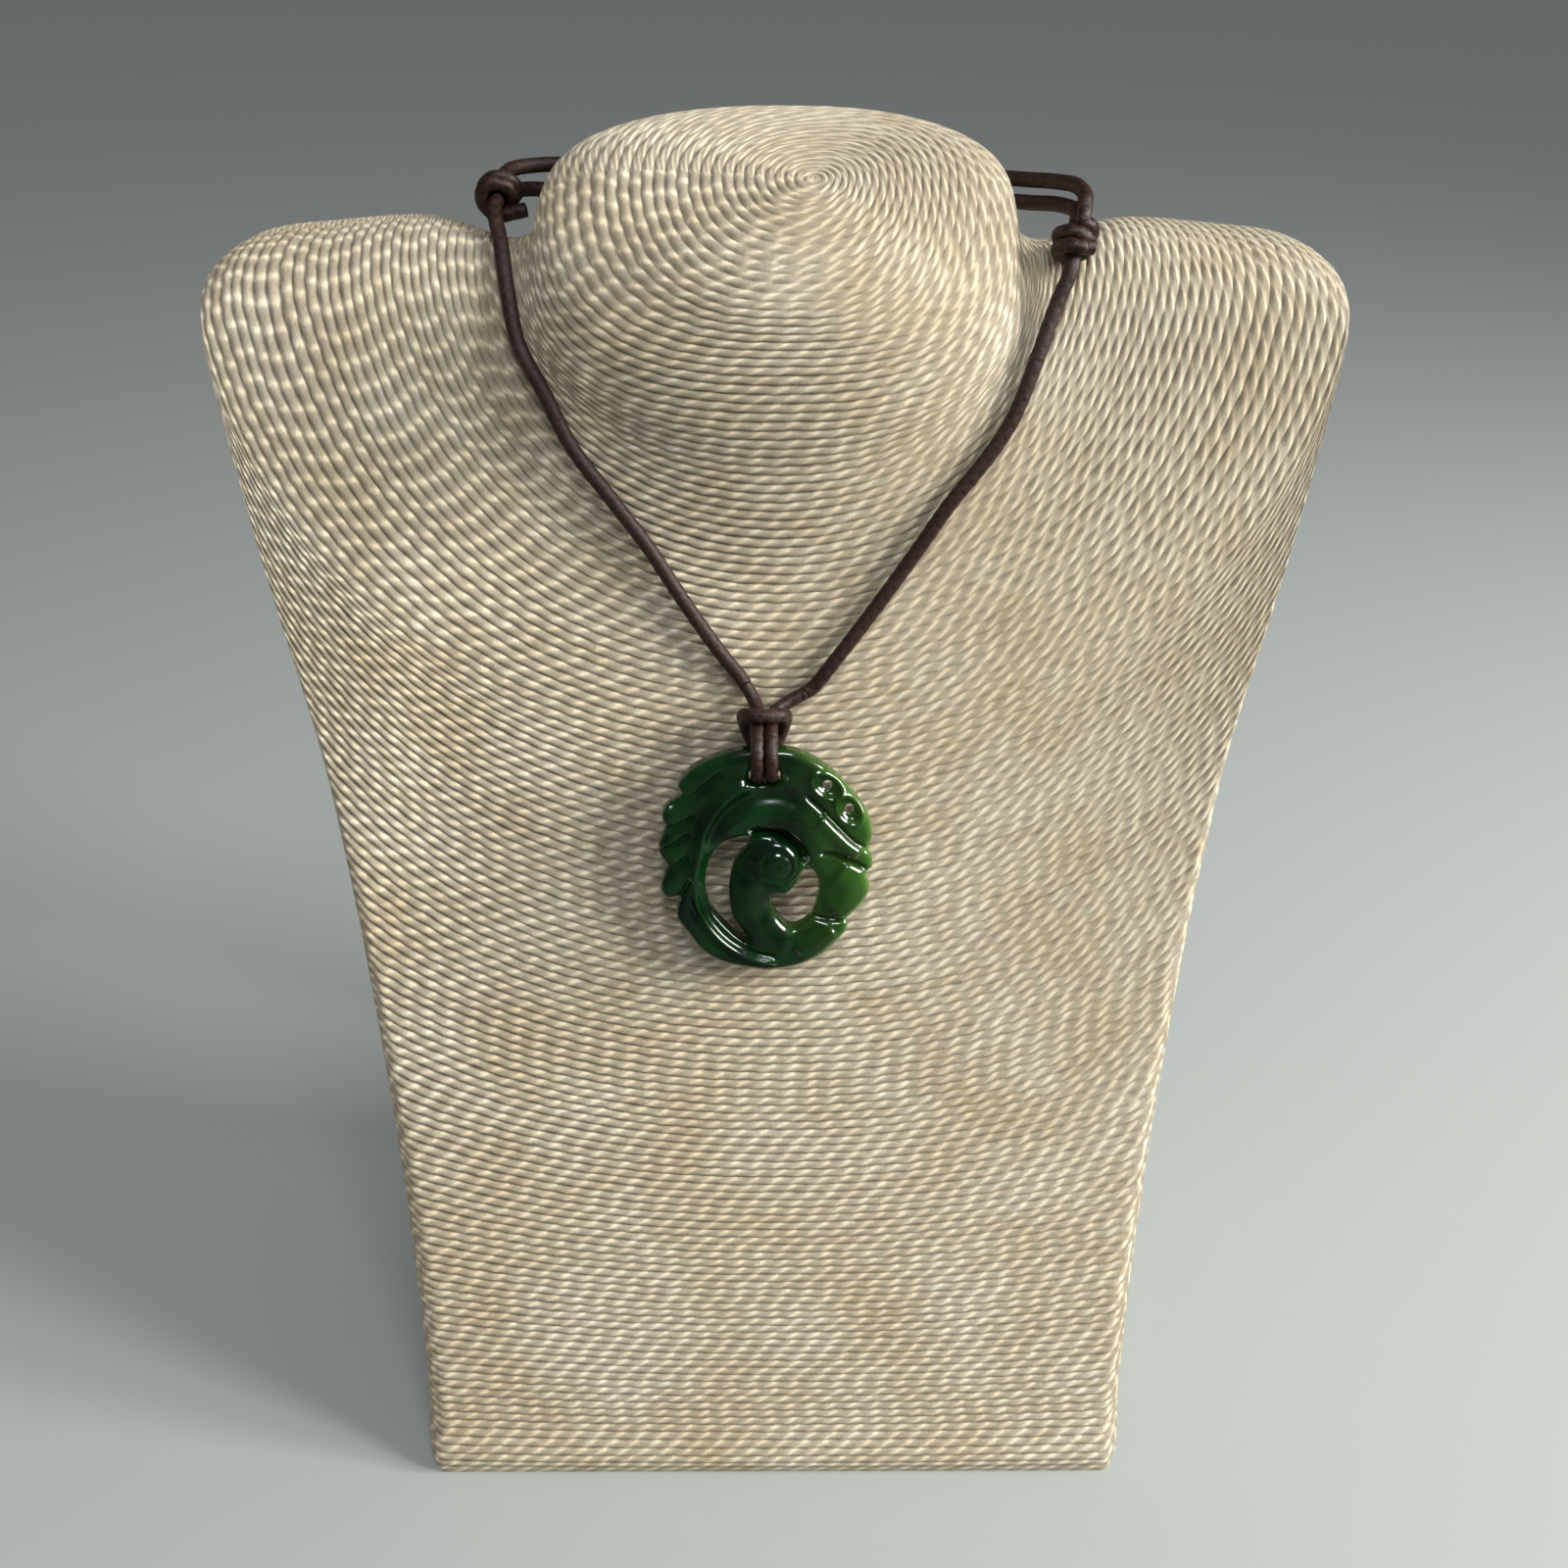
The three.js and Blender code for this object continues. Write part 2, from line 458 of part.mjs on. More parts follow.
const NECK_UPPER = [[-52.9, 75.6, 295.3], [-47.8, 80.0, 295.5], [-37.0, 83.4, 295.2],
  [-25.5, 87.0, 295.6], [-13.0, 89.4, 296.1], [0, 90.1, 296.2], [13.0, 89.4, 296.1],
  [25.5, 87.0, 295.5], [36.4, 82.4, 294.4], [44.4, 76.8, 294.0], [50.2, 70.6, 294.4],
  [54.6, 64.4, 295.0], [57.8, 58.4, 295.1], [58.8, 54.6, 293.9]];
const NECK_LOWER = [[57.3, 58.2, 291.0], [55.1, 64.3, 290.8], [50.2, 71.2, 290.0],
  [43.6, 77.6, 289.7], [36.9, 82.6, 290.0], [25.8, 87.3, 291.2], [13.0, 89.7, 292.0],
  [0, 90.5, 292.3], [-13.0, 89.7, 292.0], [-25.8, 87.3, 291.2], [-36.9, 83.6, 290.4],
  [-44.4, 81.6, 290.4], [-50.2, 78.9, 291.0], [-53.0, 75.4, 291.2]];
// Knots: centre, direction of the cord through it, direction towards the side of the tied end.
const KNOT_LEFT = { at: [-54.2, 67.0, 290.7], along: [0.05, 0.92, 0.39], tied: [0.2, 0.38, -0.9] };
const KNOT_RIGHT = { at: [57.3, 50.3, 287.4], along: [0.12, 0.62, 0.77],
  tied: [0.26, -0.77, 0.58] };

const shifted = ([x, y, z]) => new THREE.Vector3(x, y - BUST_DEPTH / 2, z);
const inPendant = ([u, v, w]) => {
  const hole = onFace(HOLE_AT);
  return new THREE.Vector3(hole.x + u, hole.y + v, w).applyMatrix4(pendantFrame);
};

const knotFrame = ({ at, along, tied }) => {
  const axis = new THREE.Vector3(...along).normalize();
  const side = new THREE.Vector3(...tied).projectOnPlane(axis).normalize();
  return { centre: shifted(at), axis, side, across: new THREE.Vector3().crossVectors(side, axis) };
};
const throughKnot = (knot) => {
  const { centre, axis, side } = knotFrame(knot);
  const middle = centre.clone().addScaledVector(side, KNOT.passing);
  return [-0.7, -0.25, 0.25, 0.7].map((share) => middle.clone().addScaledVector(axis, share * KNOT.deep));
};
const tiedEnd = (knot) => {
  const { centre, axis, side } = knotFrame(knot);
  const face = KNOT.deep / 2 + GAP;
  const end = centre.clone().addScaledVector(side, KNOT.passing + CORD + KNOT.beside);
  return [face + KNOT.straight, face].map((far) => end.clone().addScaledVector(axis, far));
};

const tube = (route, width, pitch) => {
  const curve = new THREE.CatmullRomCurve3(route, false, 'centripetal');
  const steps = Math.min(CORD_STEPS.most, Math.round(curve.getLength() / pitch));
  const ring = Array.from({ length: CORD_SIDES }, (_, i) => {
    const angle = (i / CORD_SIDES) * Math.PI * 2;
    return new THREE.Vector2(Math.cos(angle) * width / 2, Math.sin(angle) * width / 2);
  });
  const geometry = new THREE.ExtrudeGeometry(new THREE.Shape(ring), {
    steps, curveSegments: 1, bevelEnabled: false, extrudePath: curve });
  return mergeVertices(bareGeometry(geometry), 1e-4);
};
const bareGeometry = (geometry) => {
  const bare = new THREE.BufferGeometry();
  bare.setAttribute('position', geometry.getAttribute('position').clone());
  return bare;
};

// The hitch is the same on both sides from its fifth point on, joined by its top point.
const MIRRORED_FROM = 4;
const hitchRoute = [
  ...HITCH_LEFT, HITCH_TOP, ...HITCH_LEFT.slice(MIRRORED_FROM).reverse().map(([u, v, w]) => [-u, v, w]),
  ...[...HITCH_RIGHT_START].reverse()].map(inPendant);

// The cord goes on from the hitch's end with a small gap, face to face.
const afterHitch = (end, inside) => {
  const away = end.clone().sub(inside).normalize();
  return [0, HITCH_LEAD].map((far) => end.clone().addScaledVector(away, GAP + far));
};
const leftRoute = [
  ...afterHitch(hitchRoute[0], hitchRoute[1]), ...CHEST_LEFT.map(shifted),
  ...throughKnot(KNOT_LEFT), ...NECK_UPPER.map(shifted), ...tiedEnd(KNOT_RIGHT)];
const rightRoute = [
  ...afterHitch(hitchRoute[hitchRoute.length - 1], hitchRoute[hitchRoute.length - 2]),
  ...CHEST_RIGHT.map(shifted), ...throughKnot(KNOT_RIGHT), ...NECK_LOWER.map(shifted),
  ...tiedEnd(KNOT_LEFT)];

const buildKnot = (knot) => {
  const { centre, axis, side, across } = knotFrame(knot);
  const lump = Array.from({ length: KNOT_SIDES }, (_, i) => {
    const angle = (i / KNOT_SIDES) * Math.PI * 2;
    return new THREE.Vector2(Math.cos(angle) * KNOT.long / 2, Math.sin(angle) * KNOT.wide / 2);
  });
  const shape = new THREE.Shape(lump);
  const bore = CORD / 2 + GAP;
  shape.holes.push(new THREE.Path(Array.from({ length: BORE_SIDES }, (_, i) => {
    const angle = (i / BORE_SIDES) * Math.PI * 2;
    return new THREE.Vector2(KNOT.passing + Math.cos(angle) * bore, Math.sin(angle) * bore);
  })));
  const plain = new THREE.ExtrudeGeometry(shape, { depth: KNOT.deep, steps: 1, curveSegments: 1,
    bevelEnabled: false });
  const geometry = mergeVertices(bareGeometry(plain), 1e-4);
  geometry.translate(0, 0, -KNOT.deep / 2);
  const frame = new THREE.Matrix4().makeBasis(side, across.clone().negate(), axis);
  geometry.applyMatrix4(frame.setPosition(centre));
  geometry.computeVertexNormals();
  return geometry;
};

const strawRope = material('straw_rope', 0xd9c39a, 0.9);
const greenJade = material('green_jade', 0x14421f, 0.25);
const waxedCord = material('waxed_cord', 0x3f2822, 0.6);
const waxedCordKnot = material('waxed_cord_knot', 0x3a2520, 0.6);

add('bust', buildBust(), strawRope);
add('pendant', buildPendant(), greenJade);
add('hitch', tube(hitchRoute, HITCH_CORD, CORD_STEPS.hitch), waxedCordKnot);
add('cord_left', tube(leftRoute, CORD, CORD_STEPS.run), waxedCord);
add('cord_right', tube(rightRoute, CORD, CORD_STEPS.run), waxedCord);
add('knot_left', buildKnot(KNOT_LEFT), waxedCordKnot);
add('knot_right', buildKnot(KNOT_RIGHT), waxedCordKnot);

export default group;
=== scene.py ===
"""Carved jade pendant on a knotted cord, hung on a rope-wound neck bust.

Metres, +Z up, the pendant faces -Y and the bust stands on z = 0.
"""

import logging
import math
from collections.abc import Iterator, Sequence
from contextlib import contextmanager
from dataclasses import dataclass, field, fields
from enum import Enum

import bmesh
import bpy
import numpy as np
from mathutils import Matrix, Vector


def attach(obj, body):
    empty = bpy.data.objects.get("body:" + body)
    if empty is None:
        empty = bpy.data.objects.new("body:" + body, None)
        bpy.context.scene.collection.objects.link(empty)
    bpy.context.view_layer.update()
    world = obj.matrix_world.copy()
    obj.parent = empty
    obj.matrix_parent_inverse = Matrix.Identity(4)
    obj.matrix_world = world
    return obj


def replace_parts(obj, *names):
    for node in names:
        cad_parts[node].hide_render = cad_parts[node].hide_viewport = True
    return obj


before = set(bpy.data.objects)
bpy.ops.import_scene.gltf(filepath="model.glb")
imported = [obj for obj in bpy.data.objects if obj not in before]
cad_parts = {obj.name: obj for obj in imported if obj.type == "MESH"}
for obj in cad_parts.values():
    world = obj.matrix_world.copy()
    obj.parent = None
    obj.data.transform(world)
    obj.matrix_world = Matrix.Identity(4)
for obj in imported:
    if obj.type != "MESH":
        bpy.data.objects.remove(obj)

LOG = logging.getLogger("jade_pendant")
BODY = "root"
WELD = 1e-7

Point = tuple[float, float, float]
Flat = tuple[float, float]
Colour = tuple[float, float, float, float]

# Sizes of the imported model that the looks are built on
BUST_WIDTH = 0.223
BUST_DEPTH = 0.105
BUST_HEIGHT = 0.307
CAP_SHIFT = 0.007
CHEST_BULGE = math.tan(math.radians(10.0))
SHOULDER_POWER = 2.6
PENDANT_WIDTH = 0.0452
PENDANT_HEIGHT = 0.051
PENDANT_THICK = 0.0064
PENDANT_LEAN = math.radians(6.0)
PENDANT_AT = Vector((-0.00273, 0.02596 - BUST_DEPTH / 2, 0.16544))
CORD_WIDE = 0.003
HITCH_WIDE = 0.0027
HOLE_AT = (0.01, 0.38)

# The cord's routes, y from the bust's front edge; the hitch's is in the pendant's frame, from the
# middle of its hole
HITCH_LEFT: tuple[Point, ...] = (
    (-0.00405, 0.0168, -0.0041), (-0.00275, 0.0148, -0.0033), (-0.0017, 0.013, -0.0018),
    (-0.0014, 0.0115, 0.0006), (-0.0014, 0.0087, 0.005), (-0.0014, 0.0061, 0.0074),
    (-0.0014, 0.0035, 0.008), (-0.0014, 0.0013, 0.0072), (-0.0014, 0.0001, 0.005),
    (-0.0014, -0.0002, 0.0026), (-0.00143, 0.0, 0.0002), (-0.00165, 0.0012, -0.0019),
    (-0.00225, 0.0035, -0.0026), (-0.00335, 0.0066, -0.0026), (-0.0042, 0.0096, -0.0015),
    (-0.0043, 0.0118, 0.0008), (-0.00315, 0.0128, 0.0032), (-0.00145, 0.0129, 0.0041),
)
HITCH_TOP: Point = (0.0, 0.01295, 0.0042)
HITCH_RIGHT_START: tuple[Point, ...] = (
    (0.00845, 0.0151, -0.004), (0.00655, 0.014, -0.0037), (0.00445, 0.013, -0.003),
    (0.00245, 0.0121, -0.0014), (0.00145, 0.0109, 0.0012),
)
CHEST_LEFT: tuple[Point, ...] = (
    (-0.0113, 0.0345, 0.2078), (-0.0183, 0.0362, 0.2179), (-0.0258, 0.0375, 0.2299),
    (-0.0331, 0.038, 0.2402), (-0.0399, 0.0392, 0.2496), (-0.0448, 0.041, 0.2597),
    (-0.0494, 0.044, 0.2682), (-0.0516, 0.0489, 0.278), (-0.053, 0.0544, 0.285),
)
CHEST_RIGHT: tuple[Point, ...] = (
    (0.0119, 0.0341, 0.2059), (0.0196, 0.036, 0.2162), (0.0273, 0.0375, 0.2273),
    (0.0344, 0.0383, 0.2383), (0.0417, 0.0396, 0.2478), (0.0462, 0.0409, 0.2551),
    (0.0499, 0.043, 0.265), (0.0534, 0.0461, 0.275),
)
NECK_UPPER: tuple[Point, ...] = (
    (-0.0529, 0.0756, 0.2953), (-0.0478, 0.08, 0.2955), (-0.037, 0.0834, 0.2952),
    (-0.0255, 0.087, 0.2956), (-0.013, 0.0894, 0.2961), (0.0, 0.0901, 0.2962),
    (0.013, 0.0894, 0.2961), (0.0255, 0.087, 0.2955), (0.0364, 0.0824, 0.2944),
    (0.0444, 0.0768, 0.294), (0.0502, 0.0706, 0.2944), (0.0546, 0.0644, 0.295),
    (0.0578, 0.0584, 0.2951), (0.0588, 0.0546, 0.2939),
)
NECK_LOWER: tuple[Point, ...] = (
    (0.0573, 0.0582, 0.291), (0.0551, 0.0643, 0.2908), (0.0502, 0.0712, 0.29),
    (0.0436, 0.0776, 0.2897), (0.0369, 0.0826, 0.29), (0.0258, 0.0873, 0.2912),
    (0.013, 0.0897, 0.292), (0.0, 0.0905, 0.2923), (-0.013, 0.0897, 0.292),
    (-0.0258, 0.0873, 0.2912), (-0.0369, 0.0836, 0.2904), (-0.0444, 0.0816, 0.2904),
    (-0.0502, 0.0789, 0.291), (-0.053, 0.0754, 0.2912),
)


def from_front(point: Sequence[float]) -> Vector:
    """Moves a point measured from the bust's front edge to the model's own origin."""
    return Vector((point[0], point[1] - BUST_DEPTH / 2, point[2]))


def pendant_matrix() -> Matrix:
    """Returns the pendant's place: u to the right, v up its face, w out of its front."""
    lean = Matrix((
        (1.0, 0.0, 0.0),
        (0.0, math.sin(PENDANT_LEAN), -math.cos(PENDANT_LEAN)),
        (0.0, math.cos(PENDANT_LEAN), math.sin(PENDANT_LEAN)),
    ))
    return Matrix.Translation(PENDANT_AT) @ lean.to_4x4()


def on_face(share: Flat) -> Flat:
    """Turns shares of the pendant's width and height into metres on its face."""
    return (share[0] * PENDANT_WIDTH, share[1] * PENDANT_HEIGHT)


def ease(share: np.ndarray) -> np.ndarray:
    """Turns a share that grows evenly from 0 to 1 into one that starts and ends gently."""
    return share * share * (3 - 2 * share)


def blend_ends(t: np.ndarray, first: np.ndarray, last: np.ndarray, start: np.ndarray,
               stop: np.ndarray) -> np.ndarray:
    """Draws a cubic between two values that leaves and arrives at given slopes.

    Args:
        t: Share of the way, from 0 to 1.
        first: Value at the start.
        last: Value at the end.
        start: Slope at the start.
        stop: Slope at the end.

    Returns:
        The value at each share.
    """
    return ((2 * t**3 - 3 * t**2 + 1) * first + (t**3 - 2 * t**2 + t) * start
            + (3 * t**2 - 2 * t**3) * last + (t**3 - t**2) * stop)


def add_up(steps: np.ndarray) -> np.ndarray:
    """Returns the distance at each point of rows of points, from the lengths of their steps."""
    return np.concatenate([np.zeros((len(steps), 1)), np.cumsum(steps, axis=1)], axis=1)


def distance_along(line: np.ndarray) -> np.ndarray:
    """Returns each point's distance from the start, along a line of points."""
    return np.concatenate([[0.0], np.cumsum(np.linalg.norm(np.diff(line, axis=0), axis=1))])


def smooth_line(points: Sequence[Sequence[float]], step: float, closed: bool = False) -> np.ndarray:
    """Draws a centripetal spline through a few points.

    Args:
        points: The points that the line passes through.
        step: Wanted distance between the returned points, in metres.
        closed: True for a line that returns to its start.

    Returns:
        An array of evenly spaced points.
    """
    given = np.array([list(p) for p in points], float)
    if closed:
        given = np.vstack([given[-1:], given, given[:2]])
    else:
        given = np.vstack([2 * given[0] - given[1], given, 2 * given[-1] - given[-2]])
    drawn = []
    for p0, p1, p2, p3 in zip(given, given[1:], given[2:], given[3:]):
        t0, t1, t2 = (max(1e-6, np.linalg.norm(b - a) ** 0.5) for a, b in ((p0, p1), (p1, p2), (p2, p3)))
        start = ((p1 - p0) / t0 - (p2 - p0) / (t0 + t1) + (p2 - p1) / t1) * t1
        stop = ((p2 - p1) / t1 - (p3 - p1) / (t1 + t2) + (p3 - p2) / t2) * t1
        drawn.append(blend_ends(np.linspace(0.0, 1.0, 33)[:-1, None], p1, p2, start, stop))
    fine = np.vstack([*drawn, given[-2][None, :]])
    run = distance_along(fine)
    count = max(4, round(run[-1] / step))
    goals = np.linspace(0.0, run[-1], count + 1)
    if closed:
        goals = goals[:-1]
    return np.stack([np.interp(goals, run, fine[:, axis]) for axis in range(fine.shape[1])], axis=1)


@contextmanager
def edited(mesh: bpy.types.Mesh) -> Iterator[bmesh.types.BMesh]:
    """Opens a mesh to operators and writes the result back to it."""
    shape = bmesh.new()
    shape.from_mesh(mesh)
    yield shape
    shape.to_mesh(mesh)
    shape.free()


def read_points(mesh: bpy.types.Mesh) -> np.ndarray:
    """Returns a mesh's points, one row for each."""
    points = np.zeros(len(mesh.vertices) * 3)
    mesh.vertices.foreach_get("co", points)
    return points.reshape(-1, 3)


def grid_mesh(name: str, columns: int, rows: int) -> tuple[bpy.types.Mesh, np.ndarray, np.ndarray]:
    """Makes a flat grid whose points can be laid on any surface.

    Args:
        name: Name of the mesh.
        columns: Number of faces along the first direction.
        rows: Number of faces along the second direction.

    Returns:
        The mesh, and each point's column and row as two arrays of whole numbers.
    """
    mesh = bpy.data.meshes.new(name)
    with edited(mesh) as shape:
        bmesh.ops.create_grid(shape, x_segments=columns, y_segments=rows, size=1.0)
    flat = read_points(mesh)
    column = np.rint((flat[:, 0] + 1) / 2 * columns).astype(int)
    row = np.rint((flat[:, 1] + 1) / 2 * rows).astype(int)
    return mesh, column, row


def lay_points(mesh: bpy.types.Mesh, points: np.ndarray, uv: np.ndarray) -> None:
    """Moves a mesh's points and gives it a UV map.

    Args:
        mesh: The mesh.
        points: New place of each point.
        uv: Each point's place on the UV map.
    """
    mesh.vertices.foreach_set("co", np.ascontiguousarray(points, float).ravel())
    layer = mesh.uv_layers.new(name="along")
    corner = np.zeros(len(mesh.loops), int)
    mesh.loops.foreach_get("vertex_index", corner)
    layer.data.foreach_set("uv", np.ascontiguousarray(uv[corner], float).ravel())
    mesh.update()


def point_value(mesh: bpy.types.Mesh, name: str, values: np.ndarray) -> None:
    """Stores one number for each point of a mesh, for its material to read."""
    stored = mesh.attributes.new(name, "FLOAT", "POINT")
    stored.data.foreach_set("value", np.ascontiguousarray(values, float))


def close_up(mesh: bpy.types.Mesh, merge: float, caps: bool) -> None:
    """Welds a mesh's seams, closes its open ends and turns its faces outwards.

    Args:
        mesh: The mesh.
        merge: Points nearer than this are welded.
        caps: True to fill the open ends.
    """
    with edited(mesh) as shape:
        bmesh.ops.remove_doubles(shape, verts=shape.verts, dist=merge)
        if caps:
            rim = [edge for edge in shape.edges if edge.is_boundary]
            bmesh.ops.holes_fill(shape, edges=rim, sides=0)
        bmesh.ops.recalc_face_normals(shape, faces=shape.faces)
        for face in shape.faces:
            face.smooth = True


def add_piece(mesh: bpy.types.Mesh, material: bpy.types.Material) -> bpy.types.Object:
    """Puts a finished mesh into the scene and on the model's one body.

    Args:
        mesh: The finished mesh, in place.
        material: Its finish.

    Returns:
        The new object.
    """
    mesh.materials.clear()
    mesh.materials.append(material)
    piece = bpy.data.objects.new(mesh.name, mesh)
    bpy.context.scene.collection.objects.link(piece)
    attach(piece, BODY)
    LOG.info("%s: %d faces", piece.name, len(mesh.polygons))
    return piece


class Sockets:
    """Adds nodes to one node tree and joins them."""

    def __init__(self, tree: bpy.types.NodeTree, clear: bool = True) -> None:
        """Starts on a tree, emptied unless clear is False."""
        self.tree = tree
        if clear:
            tree.nodes.clear()

    def lead(self, value: object, made: bpy.types.Node, key: str | int) -> None:
        """Gives an input of a node a value, or the output of another node."""
        if isinstance(value, bpy.types.NodeSocket):
            self.tree.links.new(value, made.inputs[key])
        else:
            made.inputs[key].default_value = value

    def node(self, kind: str, inputs: dict[str | int, object] | None = None,
             **settings: object) -> bpy.types.Node:
        """Adds a node.

        Args:
            kind: The node's type, such as ShaderNodeMath.
            inputs: Values or sockets for its inputs, by name or number.
            **settings: The node's own properties.

        Returns:
            The new node.
        """
        made = self.tree.nodes.new(kind)
        for name, value in settings.items():
            setattr(made, name, value)
        for key, value in (inputs or {}).items():
            self.lead(value, made, key)
        return made

    def math(self, operation: str, *values: object) -> bpy.types.NodeSocket:
        """Adds a math node and returns its result."""
        return self.node("ShaderNodeMath", dict(enumerate(values)), operation=operation).outputs[0]

    def ramp(self, value: object, low: float, high: float) -> bpy.types.NodeSocket:
        """Returns 0 below low, 1 above high and a smooth step between."""
        made = self.node("ShaderNodeMapRange", {"Value": value, "From Min": low, "From Max": high},
                         interpolation_type="SMOOTHSTEP")
        return made.outputs["Result"]

    def mix(self, share: object, first: object, second: object) -> bpy.types.NodeSocket:
        """Returns a mix of two colours."""
        made = self.node("ShaderNodeMix", data_type="RGBA")
        for key, value in ((0, share), (6, first), (7, second)):
            self.lead(value, made, key)
        return made.outputs[2]

    def tint(self, body: object, colour: Colour, mask: object, most: float) -> bpy.types.NodeSocket:
        """Returns a colour with another mixed in where a mask says, at most by a share."""
        return self.mix(self.math("MULTIPLY", mask, most), body, colour)

    def noise(self, place: object, scale: float, detail: float = 2.0) -> bpy.types.NodeSocket:
        """Returns a noise value about one half."""
        made = self.node("ShaderNodeTexNoise", {"Vector": place, "Scale": scale, "Detail": detail})
        return made.outputs["Fac"]

    def solid(self) -> bpy.types.NodeSocket:
        """Returns the place in the piece's own space."""
        return self.node("ShaderNodeTexCoord").outputs["Object"]

    def along(self) -> bpy.types.NodeSocket:
        """Returns the place on the UV map."""
        return self.node("ShaderNodeUVMap", uv_map="along").outputs[0]

    def stretched(self, place: bpy.types.NodeSocket, stretch: float) -> bpy.types.NodeSocket:
        """Returns a place with its second direction stretched."""
        return self.node("ShaderNodeMapping", {"Vector": place, "Scale": (1.0, stretch, 1.0)}).outputs[0]

    def stored(self, name: str) -> bpy.types.NodeSocket:
        """Returns a number that each point of the piece carries."""
        return self.node("ShaderNodeAttribute", attribute_name=name).outputs["Fac"]

    def emboss(self, shader: bpy.types.Node, height: object, strength: float, distance: float) -> None:
        """Gives a shader a fine relief."""
        inputs = {"Height": height, "Strength": strength, "Distance": distance}
        self.lead(self.node("ShaderNodeBump", inputs).outputs[0], shader, "Normal")


def effect_group(name: str, inputs: dict[str, float], outputs: Sequence[str]) -> tuple[
        bpy.types.NodeTree, Sockets, bpy.types.Node, bpy.types.Node]:
    """Starts a shader node group with number inputs and outputs.

    Args:
        name: Name of the group.
        inputs: The inputs and their usual values.
        outputs: The outputs' names.

    Returns:
        The group, its socket helper, and its input and output nodes.
    """
    group = bpy.data.node_groups.new(name, "ShaderNodeTree")
    made = Sockets(group)
    for label, value in inputs.items():
        socket = group.interface.new_socket(label, in_out="INPUT", socket_type="NodeSocketFloat")
        socket.default_value = value
    for label in outputs:
        group.interface.new_socket(label, in_out="OUTPUT", socket_type="NodeSocketFloat")
    return group, made, made.node("NodeGroupInput"), made.node("NodeGroupOutput")


# The twisted strands: noise that shakes them, how far each starts apart, the roundness of a lobe
# and how much of it counts as crease
LUMPS_PER_METRE = 240.0
STRAND_START = 7.3
LOBE_POWER = 0.8
CREASE_REACH = 0.5


def twist_group() -> bpy.types.NodeTree:
    """Builds the effect of strands twisted round each other along a UV map.

    Its first UV direction runs along the strand and its second counts strands side by side.

    Returns:
        The group, with the strand's height, its creases, where the rope is darkened with painted shade, and
        a value of its own for each lobe.
    """
    group, made, given, result = effect_group(
        "twisted_strand", {"Pitch": 0.0044, "Slant": 0.9, "Uneven": 0.15},
        ("Height", "Crease", "Lobe"))
    place = made.along()
    parts = made.node("ShaderNodeSeparateXYZ", {0: place})
    along, across = parts.outputs[0], parts.outputs[1]
    strand = made.math("FLOOR", across)
    share = made.math("FRACT", across)
    own = made.node("ShaderNodeTexWhiteNoise", {"W": strand}, noise_dimensions="1D").outputs["Value"]
    lump = made.noise(place, LUMPS_PER_METRE, 1.0)
    turns = made.math("DIVIDE", along, given.outputs["Pitch"])
    slanted = made.math("MULTIPLY", share, given.outputs["Slant"])
    shaken = made.math("MULTIPLY", made.math("SUBTRACT", lump, 0.5), given.outputs["Uneven"])
    start = made.math("MULTIPLY_ADD", own, STRAND_START, shaken)
    phase = made.math("ADD", made.math("ADD", turns, slanted), start)
    wave = made.math("ABSOLUTE", made.math("SINE", made.math("MULTIPLY", phase, math.pi)))
    height = made.math("POWER", wave, LOBE_POWER)
    crease = made.math("SUBTRACT", 1.0, made.ramp(wave, 0.0, CREASE_REACH))
    lobe = made.node("ShaderNodeCombineXYZ", {0: made.math("FLOOR", phase), 1: strand})
    lot = made.node("ShaderNodeTexWhiteNoise", {"Vector": lobe.outputs[0]}, noise_dimensions="2D")
    for label, value in (("Height", height), ("Crease", crease), ("Lobe", lot.outputs["Value"])):
        made.lead(value, result, label)
    return group


class Finish:
    """Base of the finishes: a named material with a Principled shader."""

    name = "finish"

    def material(self) -> bpy.types.Material:
        """Returns the finished material, made on its first use."""
        found = bpy.data.materials.get(self.name)
        if found:
            return found
        made = bpy.data.materials.new(self.name)
        made.use_nodes = True
        sockets = Sockets(made.node_tree)
        shader = sockets.node("ShaderNodeBsdfPrincipled")
        surface = sockets.node("ShaderNodeOutputMaterial")
        sockets.lead(shader.outputs[0], surface, "Surface")
        self.dress(sockets, shader)
        return made

    def dress(self, made: Sockets, shader: bpy.types.Node) -> None:
        """Sets the shader's colours and relief."""
        raise NotImplementedError


